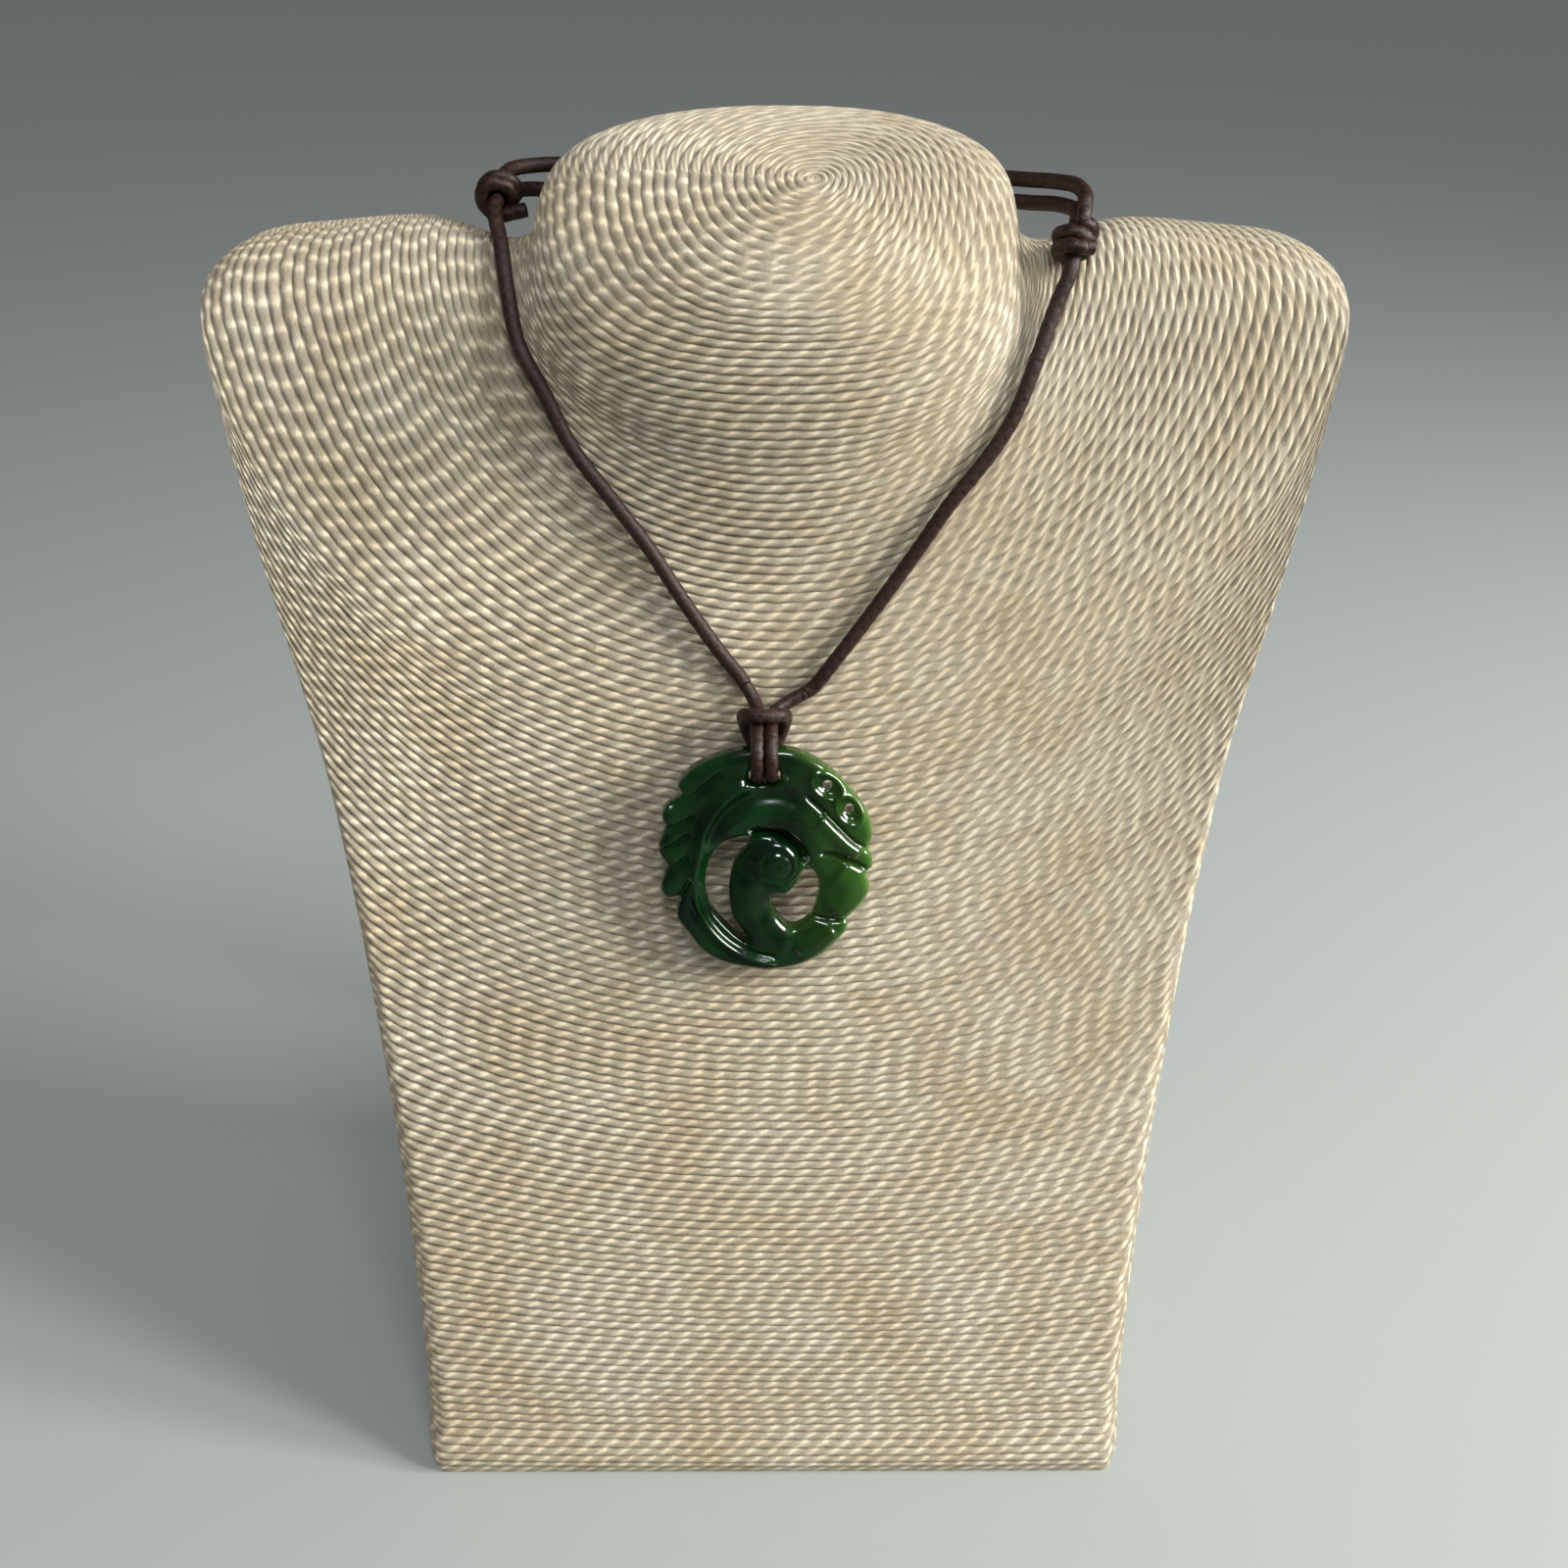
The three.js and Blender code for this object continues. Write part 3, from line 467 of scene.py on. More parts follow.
@dataclass(frozen=True)
class StrawRope(Finish):
    """Straw-coloured rope: twisted strands, with painted shade in the twist's creases and painted shadow in
    the gaps where two rows part.
    """

    name: str = "wound_straw_rope"
    light: Colour = (0.80, 0.66, 0.43, 1.0)
    pale: Colour = (0.92, 0.82, 0.62, 1.0)
    # shade: darker straw for the random fibres and lobes, and for the painted shade in the twist's creases
    shade: Colour = (0.58, 0.42, 0.24, 1.0)
    # gap: the colour of the painted shadow in the gaps between rows
    gap: Colour = (0.10, 0.052, 0.022, 1.0)
    pitch: float = 0.0052
    slant: float = 0.62
    uneven: float = 1.1
    fibre_stretch: float = 0.0022
    pinch: float = 0.27
    parted: float = 0.16
    closed: float = -0.06
    fibre_tint: float = 0.36
    lobe_tint: float = 0.30
    crease_shade: float = 0.34
    gap_shadow_share: tuple[float, float] = (0.72, 0.16)
    row_bow: float = 1.6
    fibre_lift: float = 0.3
    relief: float = 0.0003

    def gap_shadow(self, made: Sockets, away: object, crease: object) -> bpy.types.NodeSocket:
        """Returns 1 in the gap between two rows, painted dark as shadow, which opens where a crease pinches
        them.
        """
        parting = made.math("MULTIPLY_ADD", made.stored("parting"), self.parted, self.closed)
        narrow = made.math("MULTIPLY_ADD", crease, self.pinch, parting)
        edge = made.math("SUBTRACT", 0.5, narrow)
        return made.ramp(made.math("SUBTRACT", away, edge), -0.06, 0.05)

    def dress(self, made: Sockets, shader: bpy.types.Node) -> None:
        """Sets the rope's colours and the relief of its twist."""
        twist = made.node(
            "ShaderNodeGroup", {"Pitch": self.pitch, "Slant": self.slant, "Uneven": self.uneven},
            node_tree=bpy.data.node_groups["twisted_strand"])
        crease = twist.outputs["Crease"]
        place = made.along()
        share = made.math("FRACT", made.node("ShaderNodeSeparateXYZ", {0: place}).outputs[1])
        away = made.math("ABSOLUTE", made.math("SUBTRACT", share, 0.5))
        fibre = made.noise(made.stretched(place, self.fibre_stretch), 1500.0, 3.0)
        patch = made.noise(made.solid(), 38.0, 3.0)
        body = made.mix(made.ramp(patch, 0.25, 0.75), self.light, self.pale)
        body = made.tint(body, self.shade, made.ramp(fibre, 0.42, 0.78), self.fibre_tint)
        body = made.tint(body, self.shade, made.ramp(twist.outputs["Lobe"], 0.4, 1.0), self.lobe_tint)
        # painted shade: the rope's colour is darkened in the creases of the twist
        body = made.tint(body, self.shade, crease, self.crease_shade)
        # painted shadow in the gaps between rows, made darker or lighter by noise
        deep = made.math("MULTIPLY_ADD", made.ramp(made.noise(place, 330.0, 1.0), 0.46, 0.66),
                         *self.gap_shadow_share)
        gap = made.math("MULTIPLY", self.gap_shadow(made, away, crease), deep)
        made.lead(made.mix(gap, body, self.gap), shader, "Base Color")
        fall = made.math("MULTIPLY", away, made.math("MULTIPLY", away, self.row_bow))
        bulge = made.math("MULTIPLY", twist.outputs["Height"], made.math("SUBTRACT", 1.15, fall))
        lift = made.math("MULTIPLY_ADD", bulge, 1.0, made.math("MULTIPLY", fibre, self.fibre_lift))
        made.emboss(shader, lift, 1.0, self.relief)
        shader.inputs["Roughness"].default_value = 0.72
        shader.inputs["Sheen Weight"].default_value = 0.1


@dataclass(frozen=True)
class GreenJade(Finish):
    """Polished dark green jade with faint clouds, and painted light on its right side and along its right
    edges.
    """

    name: str = "polished_green_jade"
    deep: Colour = (0.0006, 0.009, 0.0018, 1.0)
    green: Colour = (0.0018, 0.028, 0.0035, 1.0)
    # glow: the lighter green of the painted light on the right side and edges
    glow: Colour = (0.050, 0.135, 0.012, 1.0)
    speck_tint: float = 0.3
    polish: tuple[float, float] = (0.13, 0.22)
    scratch: float = 0.00008
    surface: tuple[tuple[str, object], ...] = (
        ("IOR", 1.62), ("Coat Weight", 0.35), ("Coat Roughness", 0.06), ("Subsurface Weight", 0.18),
        ("Subsurface Radius", (0.3, 1.0, 0.25)), ("Subsurface Scale", 0.002))

    def dress(self, made: Sockets, shader: bpy.types.Node) -> None:
        """Sets the stone's colours and its polish."""
        solid = made.solid()
        clouds = made.noise(solid, 120.0, 4.0)
        specks = made.noise(solid, 900.0, 2.0)
        body = made.mix(made.ramp(clouds, 0.36, 0.68), self.deep, self.green)
        body = made.tint(body, self.deep, made.ramp(specks, 0.66, 0.78), self.speck_tint)
        # painted light: the glow colour is mixed in along the right edges and over the right side
        made.lead(made.mix(made.stored("painted_glow"), body, self.glow), shader, "Base Color")
        made.emboss(shader, made.noise(solid, 420.0, 3.0), 0.12, self.scratch)
        smooth, dull = self.polish
        rough = made.node("ShaderNodeMapRange", {"Value": clouds, "To Min": smooth, "To Max": dull})
        made.lead(rough.outputs["Result"], shader, "Roughness")
        for label, value in self.surface:
            shader.inputs[label].default_value = value


@dataclass(frozen=True)
class WaxedCord(Finish):
    """Dark brown waxed cord, finely plaited, with painted shade in the hollows between its strands."""

    name: str = "plaited_waxed_cord"
    dark: Colour = (0.006, 0.0026, 0.0018, 1.0)
    brown: Colour = (0.026, 0.0105, 0.0075, 1.0)
    worn: Colour = (0.070, 0.036, 0.027, 1.0)
    shine: float = 0.5

    fibre_stretch: float = 0.012
    fibre_tint: float = 0.45
    patch_tint: float = 0.35
    relief: float = 0.00022

    def dress(self, made: Sockets, shader: bpy.types.Node) -> None:
        """Sets the cord's colours and the relief of its fibres."""
        fibre = made.noise(made.stretched(made.along(), self.fibre_stretch), 2600.0, 3.0)
        solid = made.solid()
        patch = made.noise(solid, 160.0, 2.0)
        # painted shade: darker where the plait's strands sink between each other
        body = made.mix(made.ramp(made.stored("strand_height"), 0.15, 0.75), self.dark, self.brown)
        body = made.tint(body, self.worn, made.ramp(fibre, 0.5, 0.72), self.fibre_tint)
        colour = made.tint(body, self.worn, made.ramp(patch, 0.55, 0.75), self.patch_tint)
        made.lead(colour, shader, "Base Color")
        lumps = made.math("MULTIPLY", made.noise(solid, 900.0, 2.0), 0.8)
        made.emboss(shader, made.math("MULTIPLY_ADD", fibre, 0.7, lumps), 0.8, self.relief)
        shader.inputs["Roughness"].default_value = self.shine
        shader.inputs["Specular IOR Level"].default_value = 0.35


@dataclass(frozen=True)
class TightCord(WaxedCord):
    """The same cord where it is pulled tight."""

    name: str = "plaited_tight_cord"
    shine: float = 0.42


@dataclass(frozen=True)
class PressedBoard(Finish):
    """Plain straw-coloured board under the foot, flecked with fibres."""

    name: str = "pressed_board"
    board: Colour = (0.42, 0.33, 0.21, 1.0)
    fleck: Colour = (0.26, 0.19, 0.11, 1.0)

    def dress(self, made: Sockets, shader: bpy.types.Node) -> None:
        """Sets the board's colours and its grain."""
        grain = made.noise(made.stretched(made.solid(), 0.25), 900.0, 3.0)
        made.lead(made.mix(made.ramp(grain, 0.45, 0.7), self.board, self.fleck), shader, "Base Color")
        made.emboss(shader, grain, 0.4, 0.0002)
        shader.inputs["Roughness"].default_value = 0.85


@dataclass(frozen=True)
class PaleFloor(Finish):
    """Plain pale floor under the bust, seen darker in the polished stone."""

    name: str = "pale_floor"
    colour: Colour = (0.34, 0.37, 0.355, 1.0)
    mirrored: Colour = (0.05, 0.055, 0.052, 1.0)

    def dress(self, made: Sockets, shader: bpy.types.Node) -> None:
        """Sets one even colour, and a darker one for reflections."""
        ray = made.node("ShaderNodeLightPath").outputs["Is Glossy Ray"]
        made.lead(made.mix(ray, self.colour, self.mirrored), shader, "Base Color")
        shader.inputs["Roughness"].default_value = 0.8


@dataclass(frozen=True)
class PhotoCamera:
    """The camera, where the photograph was taken from."""

    place: Point = (-0.0008, -0.3207, 0.3449)
    pitch: float = math.radians(29.0)
    yaw: float = math.radians(0.5)
    roll: float = math.radians(-0.3)
    lens: float = 37.125

    def build(self) -> bpy.types.Object:
        """Makes the scene's camera and returns it."""
        data = bpy.data.cameras.new("photo_camera")
        data.lens = self.lens
        data.sensor_width = 36.0
        data.clip_start, data.clip_end = 0.01, 50.0
        camera = bpy.data.objects.new("photo_camera", data)
        turn = (Matrix.Rotation(-self.yaw, 3, "Z") @ Matrix.Rotation(math.pi / 2 - self.pitch, 3, "X")
                @ Matrix.Rotation(-self.roll, 3, "Z"))
        camera.matrix_world = Matrix.Translation(Vector(self.place)) @ turn.to_4x4()
        bpy.context.scene.collection.objects.link(camera)
        bpy.context.scene.camera = camera
        return camera


@dataclass(frozen=True)
class SoftLight:
    """One rectangular studio light that looks at the pendant."""

    name: str
    place: Point
    width: float
    height: float
    power: float
    colour: tuple[float, float, float]

    def build(self, target: Vector) -> bpy.types.Object:
        """Makes the light and turns it to the target."""
        data = bpy.data.lights.new(self.name, "AREA")
        data.shape = "RECTANGLE"
        data.size, data.size_y = self.width, self.height
        data.energy = self.power
        data.color = self.colour
        light = bpy.data.objects.new(self.name, data)
        light.location = Vector(self.place)
        light.rotation_mode = "QUATERNION"
        light.rotation_quaternion = (target - light.location).to_track_quat("-Z", "Y")
        bpy.context.scene.collection.objects.link(light)
        return light


@dataclass
class Studio:
    """Pale floor, soft lights and an even pale surround."""

    floor_size: float = 30.0
    surround: float = 0.42
    mirrored: float = 0.06
    lights: tuple[SoftLight, ...] = (
        SoftLight("window_near", (1.02, -0.46, 0.72), 0.21, 0.60, 13.0, (1.0, 0.98, 0.95)),
        SoftLight("window_far", (1.10, -0.18, 0.72), 0.21, 0.60, 13.0, (1.0, 0.98, 0.95)),
        SoftLight("high_front", (0.10, -0.62, 1.05), 0.34, 0.20, 5.0, (0.90, 0.96, 1.0)),
    )

    def build(self) -> None:
        """Makes the floor, the lights and the surround."""
        mesh = bpy.data.meshes.new("floor")
        with edited(mesh) as shape:
            bmesh.ops.create_grid(shape, x_segments=1, y_segments=1, size=self.floor_size / 2)
        mesh.materials.append(PaleFloor().material())
        floor = bpy.data.objects.new("floor", mesh)
        bpy.context.scene.collection.objects.link(floor)
        for light in self.lights:
            light.build(PENDANT_AT)
        world = bpy.data.worlds.new("studio")
        bpy.context.scene.world = world
        world.use_nodes = True
        background = world.node_tree.nodes["Background"]
        background.inputs["Color"].default_value = (0.97, 0.98, 1.0, 1.0)
        made = Sockets(world.node_tree, clear=False)
        ray = made.node("ShaderNodeLightPath").outputs["Is Glossy Ray"]
        strength = made.math("MULTIPLY_ADD", ray, self.mirrored - self.surround, self.surround)
        made.lead(strength, background, "Strength")
        bpy.context.scene.view_settings.view_transform = "Standard"


class KnotSide(Enum):
    """Which side of the neck a knot lies on."""

    LEFT = "left"
    RIGHT = "right"


@dataclass(frozen=True)
class SlidingKnot:
    """A knot of one end of the cord round the other, which slides along it."""

    side: KnotSide
    at: Point
    along: Point
    tied: Point
    stub: float
    deep: float = 0.0084
    passing: float = -0.0016
    clearance: float = 0.0003
    beside: float = 0.00035
    lead: float = 0.0016
    turns: float = 2.0
    first_turn: float = 0.0022
    turns_long: float = 0.0052

    def frame(self) -> tuple[Vector, Vector, Vector, Vector]:
        """Returns the knot's centre, the cord's direction, the tied side and the third direction."""
        axis = Vector(self.along).normalized()
        tied = Vector(self.tied)
        side = (tied - axis * tied.dot(axis)).normalized()
        return from_front(self.at), axis, side, side.cross(axis)

    def through(self) -> list[Vector]:
        """Returns the straight stretch of the cord that slides through the knot."""
        centre, axis, side, _ = self.frame()
        return [centre + side * self.passing + axis * share * self.deep
                for share in (-0.7, -0.25, 0.25, 0.7)]

    def tied_end(self) -> list[Vector]:
        """Returns the last stretch of the cord that is tied into the knot."""
        centre, axis, side, _ = self.frame()
        face = self.deep / 2 + self.clearance
        end = centre + side * (self.passing + CORD_WIDE + self.beside)
        return [end + axis * far for far in (face + self.lead, face)]

    def winding(self) -> list[Vector]:
        """Returns the line of the knot itself: two turns round the passing cord and a short end."""
        centre, axis, side, across = self.frame()
        middle = centre + side * self.passing
        start = self.tied_end()[1]
        hand = 1.0 if self.side is KnotSide.LEFT else -1.0
        line = [start + axis * self.clearance, start - axis * 0.0012]
        for share in (i / 24 for i in range(25)):
            angle = share * self.turns * 2 * math.pi
            out = side * math.cos(angle) + across * math.sin(angle) * hand
            reach = CORD_WIDE * (1.0 + 0.06 * math.sin(angle * 1.5))
            line.append(middle + out * reach + axis * (self.first_turn - share * self.turns_long))
        last = line[-1]
        for far in (0.35, 0.7, 1.0):
            line.append(last + across * hand * self.stub * far + axis * 0.0006 * far)
        return line

    def build(self) -> bpy.types.Object:
        """Makes the knot and returns it."""
        name = f"knot_{self.side.value}_cord"
        mesh = plaited_tube(name, smooth_line(self.winding(), 0.00022), CORD_WIDE * 0.49)
        piece = add_piece(mesh, TightCord().material())
        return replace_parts(piece, f"knot_{self.side.value}")


# The cord's plait: faces round it, length of one lay, strands round it and the depth between them
TUBE_SIDES = 16
PLAIT_LAY = 0.0052
PLAIT_STRANDS = 3
PLAIT_DEPTH = 0.07


def plaited_tube(name: str, line: np.ndarray, radius: float) -> bpy.types.Mesh:
    """Makes a cord of fine plaited strands along a line.

    Args:
        name: Name of the mesh.
        line: The cord's centre, as evenly spaced points.
        radius: Half the cord's width.

    Returns:
        A closed mesh with its length on the UV map and its strands' height as a value.
    """
    mesh, column, row = grid_mesh(name, TUBE_SIDES, len(line) - 1)
    ahead = np.gradient(line, axis=0)
    ahead /= np.linalg.norm(ahead, axis=1)[:, None]
    out = np.zeros_like(ahead)
    first = np.cross(ahead[0], (0.0, 0.0, 1.0) if abs(ahead[0][2]) < 0.9 else (0.0, 1.0, 0.0))
    out[0] = first / np.linalg.norm(first)
    for i in range(1, len(line)):
        turned = out[i - 1] - ahead[i] * (out[i - 1] @ ahead[i])
        out[i] = turned / np.linalg.norm(turned)
    third = np.cross(ahead, out)
    angle = column / TUBE_SIDES * 2 * np.pi
    far = distance_along(line)[row]
    round_it, lay = angle * PLAIT_STRANDS / 2, 2 * np.pi * far / PLAIT_LAY
    height = np.maximum(np.abs(np.sin(round_it + lay)), np.abs(np.sin(round_it - lay))) ** 1.5
    reach = radius * (1 - PLAIT_DEPTH + PLAIT_DEPTH * height)
    points = (line[row] + out[row] * (np.cos(angle) * reach)[:, None]
              + third[row] * (np.sin(angle) * reach)[:, None])
    lay_points(mesh, points, np.stack([far, column / TUBE_SIDES], axis=1))
    point_value(mesh, "strand_height", height)
    close_up(mesh, WELD, caps=True)
    return mesh


@dataclass
class NeckCord:
    """The cord: a hitch through the pendant, two runs up the chest and two sliding knots."""

    left_knot: SlidingKnot = SlidingKnot(
        KnotSide.LEFT, (-0.0542, 0.067, 0.2907), (0.05, 0.92, 0.39), (0.2, 0.38, -0.9), 0.005)
    right_knot: SlidingKnot = SlidingKnot(
        KnotSide.RIGHT, (0.0573, 0.0503, 0.2874), (0.12, 0.62, 0.77), (0.26, -0.77, 0.58), 0.0026)
    hitch_gap: float = 0.00002
    hitch_full: float = 0.00008
    path_step: float = 0.0075

    def hitch_line(self) -> list[Vector]:
        """Returns the lark's head round the pendant's top, from its left end to its right."""
        left = list(HITCH_LEFT)
        right = [(-u, v, w) for u, v, w in reversed(left[4:])]
        whole = [*left, HITCH_TOP, *right, *reversed(HITCH_RIGHT_START)]
        hole = on_face(HOLE_AT)
        place = pendant_matrix() @ Matrix.Translation((hole[0], hole[1], 0.0))
        return [place @ Vector(point) for point in whole]

    def run_line(self, side: KnotSide) -> list[Vector]:
        """Returns the points of one run of cord, from the hitch to the far knot."""
        hitch = self.hitch_line()
        if side is KnotSide.RIGHT:
            hitch.reverse()
        away = (hitch[0] - hitch[1]).normalized()
        start = [hitch[0] + away * (self.hitch_gap + far) for far in (0.0, 0.0015)]
        own, other = self.left_knot, self.right_knot
        chest, neck = CHEST_LEFT, NECK_UPPER
        if side is KnotSide.RIGHT:
            own, other = other, own
            chest, neck = CHEST_RIGHT, NECK_LOWER
        return [*start, *map(from_front, chest), *own.through(), *map(from_front, neck), *other.tied_end()]

    def build_run(self, side: KnotSide) -> bpy.types.Object:
        """Args:
            side: The side of the chest that it climbs.

        Returns:
            The new piece.
        """
        points = self.run_line(side)
        line = smooth_line(points, 0.00035)
        mesh = plaited_tube(f"neck_cord_{side.value}", line, CORD_WIDE / 2)
        piece = add_piece(mesh, WaxedCord().material())
        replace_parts(piece, f"cord_{side.value}")
        return piece

    def build(self) -> None:
        """Makes the hitch, the knots and both runs."""
        line = smooth_line(self.hitch_line(), 0.00025)
        mesh = plaited_tube("hitch_cord", line, HITCH_WIDE / 2 + self.hitch_full)
        hitch = add_piece(mesh, TightCord().material())
        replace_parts(hitch, "hitch")
        left, right = self.left_knot.build(), self.right_knot.build()
        self.build_run(KnotSide.LEFT)
        self.build_run(KnotSide.RIGHT)


@dataclass(frozen=True)
class Turn:
    """Where one turn of the wound rope crosses the bust's front, side and back.

    Places and the corner's reach are shares of the bust's depth, height and half width.
    """

    turn: float
    front_y: float
    front_z: float
    side_x: float
    side_y: float
    side_z: float
    back_y: float
    back_z: float
    spread: float
    rise: float
    flat: float
    round: float


STATIONS: tuple[Turn, ...] = (
    Turn(0, 0.486, 0.9690, 0.001, 0.486, 0.9690, 0.488, 0.9690, 2.0, 2.0, 0.0, 0.269),
    Turn(6, 0.400, 0.9544, 0.085, 0.495, 0.9707, 0.571, 0.9805, 2.1, 2.1, 0.0, 0.269),
    Turn(18, 0.276, 0.9007, 0.287, 0.514, 0.9723, 0.743, 1.0, 2.5, 2.5, 0.0, 0.269),
    Turn(24, 0.281, 0.8713, 0.399, 0.524, 0.9577, 0.819, 0.9935, 2.6, 2.6, 0.0, 0.269),
    Turn(30, 0.300, 0.8355, 0.435, 0.524, 0.9186, 0.838, 0.9642, 2.4, 2.4, 0.0, 0.269),
    Turn(36, 0.333, 0.7980, 0.466, 0.543, 0.9251, 0.848, 0.9251, 2.1, 2.1, 0.2, 0.215),
    Turn(47, 0.367, 0.7264, 0.619, 0.610, 0.9365, 0.886, 0.8339, 2.0, 2.0, 0.8, 0.161),
    Turn(57, 0.342, 0.6625, 0.794, 0.648, 0.9300, 0.914, 0.7557, 2.0, 2.0, 1.0, 0.126),
    Turn(64, 0.318, 0.6173, 0.942, 0.667, 0.9218, 0.933, 0.6971, 2.0, 2.0, 1.0, 0.108),
    Turn(68, 0.305, 0.5912, 1.0, 0.667, 0.9055, 0.943, 0.6678, 2.0, 1.9, 1.0, 0.099),
    Turn(76, 0.278, 0.5394, 0.960, 0.657, 0.7915, 0.952, 0.6026, 2.1, 1.6, 1.0, 0.090),
    Turn(90, 0.229, 0.4430, 0.874, 0.629, 0.5928, 0.971, 0.4821, 2.2, 1.25, 1.0, 0.090),
    Turn(110, 0.158, 0.3062, 0.830, 0.590, 0.3811, 0.990, 0.3257, 2.2, 1.1, 1.0, 0.090),
    Turn(130, 0.090, 0.1743, 0.807, 0.552, 0.2052, 1.0, 0.1857, 2.3, 1.0, 1.0, 0.090),
    Turn(150, 0.021, 0.0407, 0.798, 0.524, 0.0472, 1.0, 0.0423, 2.3, 1.0, 1.0, 0.081),
    Turn(154, 0.0, 0.0130, 0.798, 0.514, 0.0163, 0.995, 0.0130, 2.4, 1.0, 1.0, 0.072),
    Turn(156, 0.010, 0.0, 0.785, 0.514, 0.0, 0.981, 0.0, 2.4, 1.0, 1.0, 0.054),
)
LAST_TURN = STATIONS[-1].turn


class Face(Enum):
    """Which half of the bust a patch of rope lies on."""

    FRONT = "front"
    BACK = "back"


@dataclass(frozen=True)
class RopePatch:
    """A patch of the wound rope: the turns that it holds and how finely it is made."""

    name: str
    face: Face
    first: int
    last: int
    along: int


@dataclass
class RopeBust:
    """The neck bust: one rope wound in rows from the top of the neck down to the foot."""

    patches: tuple[RopePatch, ...] = (
        RopePatch("rope_neck_front", Face.FRONT, 0, 36, 240),
        RopePatch("rope_neck_back", Face.BACK, 0, 36, 120),
        RopePatch("rope_chest_front", Face.FRONT, 36, 88, 300),
        RopePatch("rope_foot_front", Face.FRONT, 88, 156, 240),
        RopePatch("rope_chest_back", Face.BACK, 36, 156, 130),
    )
    shares: tuple[float, ...] = (0.0, 0.13, 0.36, 0.64, 0.87)
    depth_share: float = 0.3
    parting_depth: float = 0.8
    cap_last_turn: float = 26.0
    fine_points: int = 241
    corner_dense: float = 2.4
    first_line: float = 0.02
    ends_still: int = 12
    sole_thick: float = 0.003
    sole_share: float = 0.985
    seed: int = 11
    noise: list[tuple[float, np.ndarray, np.ndarray]] = field(default_factory=list)

    def __post_init__(self) -> None:
        """Draws the wander of the rows once, so that neighbouring patches agree."""
        chance = np.random.default_rng(self.seed)
        for wave, size in ((0.009, 0.05), (0.019, 0.055), (0.043, 0.05)):
            phase = chance.uniform(0, 2 * np.pi, 200)
            self.noise.append((wave, phase, chance.uniform(0.2, 1.0, 200) * size))

    def columns_at(self, turns: np.ndarray) -> dict[str, np.ndarray]:
        """Reads the stations' table at any turns, by monotone cubic.

        Args:
            turns: The turns, as an array.

        Returns:
            Each column of the table at those turns.
        """
        at = np.array([row.turn for row in STATIONS], float)
        wide = np.diff(at)
        place = np.clip(np.searchsorted(at, turns, side="right") - 1, 0, len(wide) - 1)
        t = (turns - at[place]) / wide[place]
        read = {}
        for name in (column.name for column in fields(Turn)[1:]):
            value = np.array([getattr(row, name) for row in STATIONS], float)
            rate = np.diff(value) / wide
            slope = np.concatenate([rate[:1], np.zeros(len(rate) - 1), rate[-1:]])
            for i in range(1, len(rate)):
                if rate[i - 1] * rate[i] > 0:
                    before, after = 2 * wide[i] + wide[i - 1], wide[i] + 2 * wide[i - 1]
                    slope[i] = (before + after) / (before / rate[i - 1] + after / rate[i])
            read[name] = blend_ends(t, value[place], value[place + 1], wide[place] * slope[place],
                                    wide[place] * slope[place + 1])
        return read

    def half_turns(self, turns: np.ndarray, face: Face, along: int) -> np.ndarray:
        """Works out half of each turn, from the left side round the middle to the right.

        Args:
            turns: The turns.
            face: The half that is wanted.
            along: Number of steps along each half turn.

        Returns:
            An array of points, turns by steps.
        """
        read = {name: value[:, None] for name, value in self.columns_at(turns).items()}
        front = face is Face.FRONT
        middle_y = read["front_y" if front else "back_y"] * BUST_DEPTH
        middle_z = read["front_z" if front else "back_z"] * BUST_HEIGHT
        side_x = read["side_x"] * BUST_WIDTH / 2
        side_y, side_z = read["side_y"] * BUST_DEPTH, read["side_z"] * BUST_HEIGHT
        lean = read["flat"] * CHEST_BULGE if front else 0.0
        angle = np.linspace(0.0, np.pi / 2, self.fine_points)[None, :]
        x = side_x * np.sin(angle) ** (2 / read["spread"])
        to_middle = np.clip(np.cos(angle), 0, 1) ** (2 / read["rise"])
        z = side_z + (middle_z - side_z) * to_middle
        run = add_up(np.hypot(np.diff(x), np.diff(z)))
        rest = run[:, -1:] - run
        reach = read["round"] * BUST_WIDTH / 2
        near = np.clip(rest / reach, 0, 1)
        corner = (1 - (1 - near) ** SHOULDER_POWER) ** (1 / SHOULDER_POWER)
        share = (1 - read["flat"]) * to_middle + read["flat"] * corner
        y = side_y + (middle_y + lean * (z - middle_z) - side_y) * share
        close = np.where(rest[:, 1:] < reach, self.corner_dense, 1.0)
        step = np.sqrt(np.diff(x) ** 2 + np.diff(y) ** 2 + np.diff(z) ** 2) * close
        far = add_up(step)
        half = along // 2
        quarter = np.zeros((len(turns), half + 1, 3))
        for i in range(len(turns)):
            goals = np.linspace(0.0, far[i, -1], half + 1)
            for axis, values in enumerate((x, y, z)):
                quarter[i, :, axis] = np.interp(goals, far[i], values[i])
        mirrored = quarter[:, :0:-1] * (-1.0, 1.0, 1.0)
        whole = np.concatenate([mirrored, quarter], axis=1)
        shift = CAP_SHIFT * np.clip(1 - turns / self.cap_last_turn, 0, None)
        whole[:, :, 0] += shift[:, None]
        whole[:, :, 1] -= BUST_DEPTH / 2
        return whole

    def wander(self, rows: np.ndarray, far: np.ndarray) -> np.ndarray:
        """Returns how far each row strays from its place, in rows.

        Args:
            rows: Row number of each point.
            far: Distance along the row of each point.
        """
        stray = np.zeros_like(far)
        for wave, phase, size in self.noise:
            stray += size[rows] * np.sin(2 * np.pi * far / wave + phase[rows])
        return stray

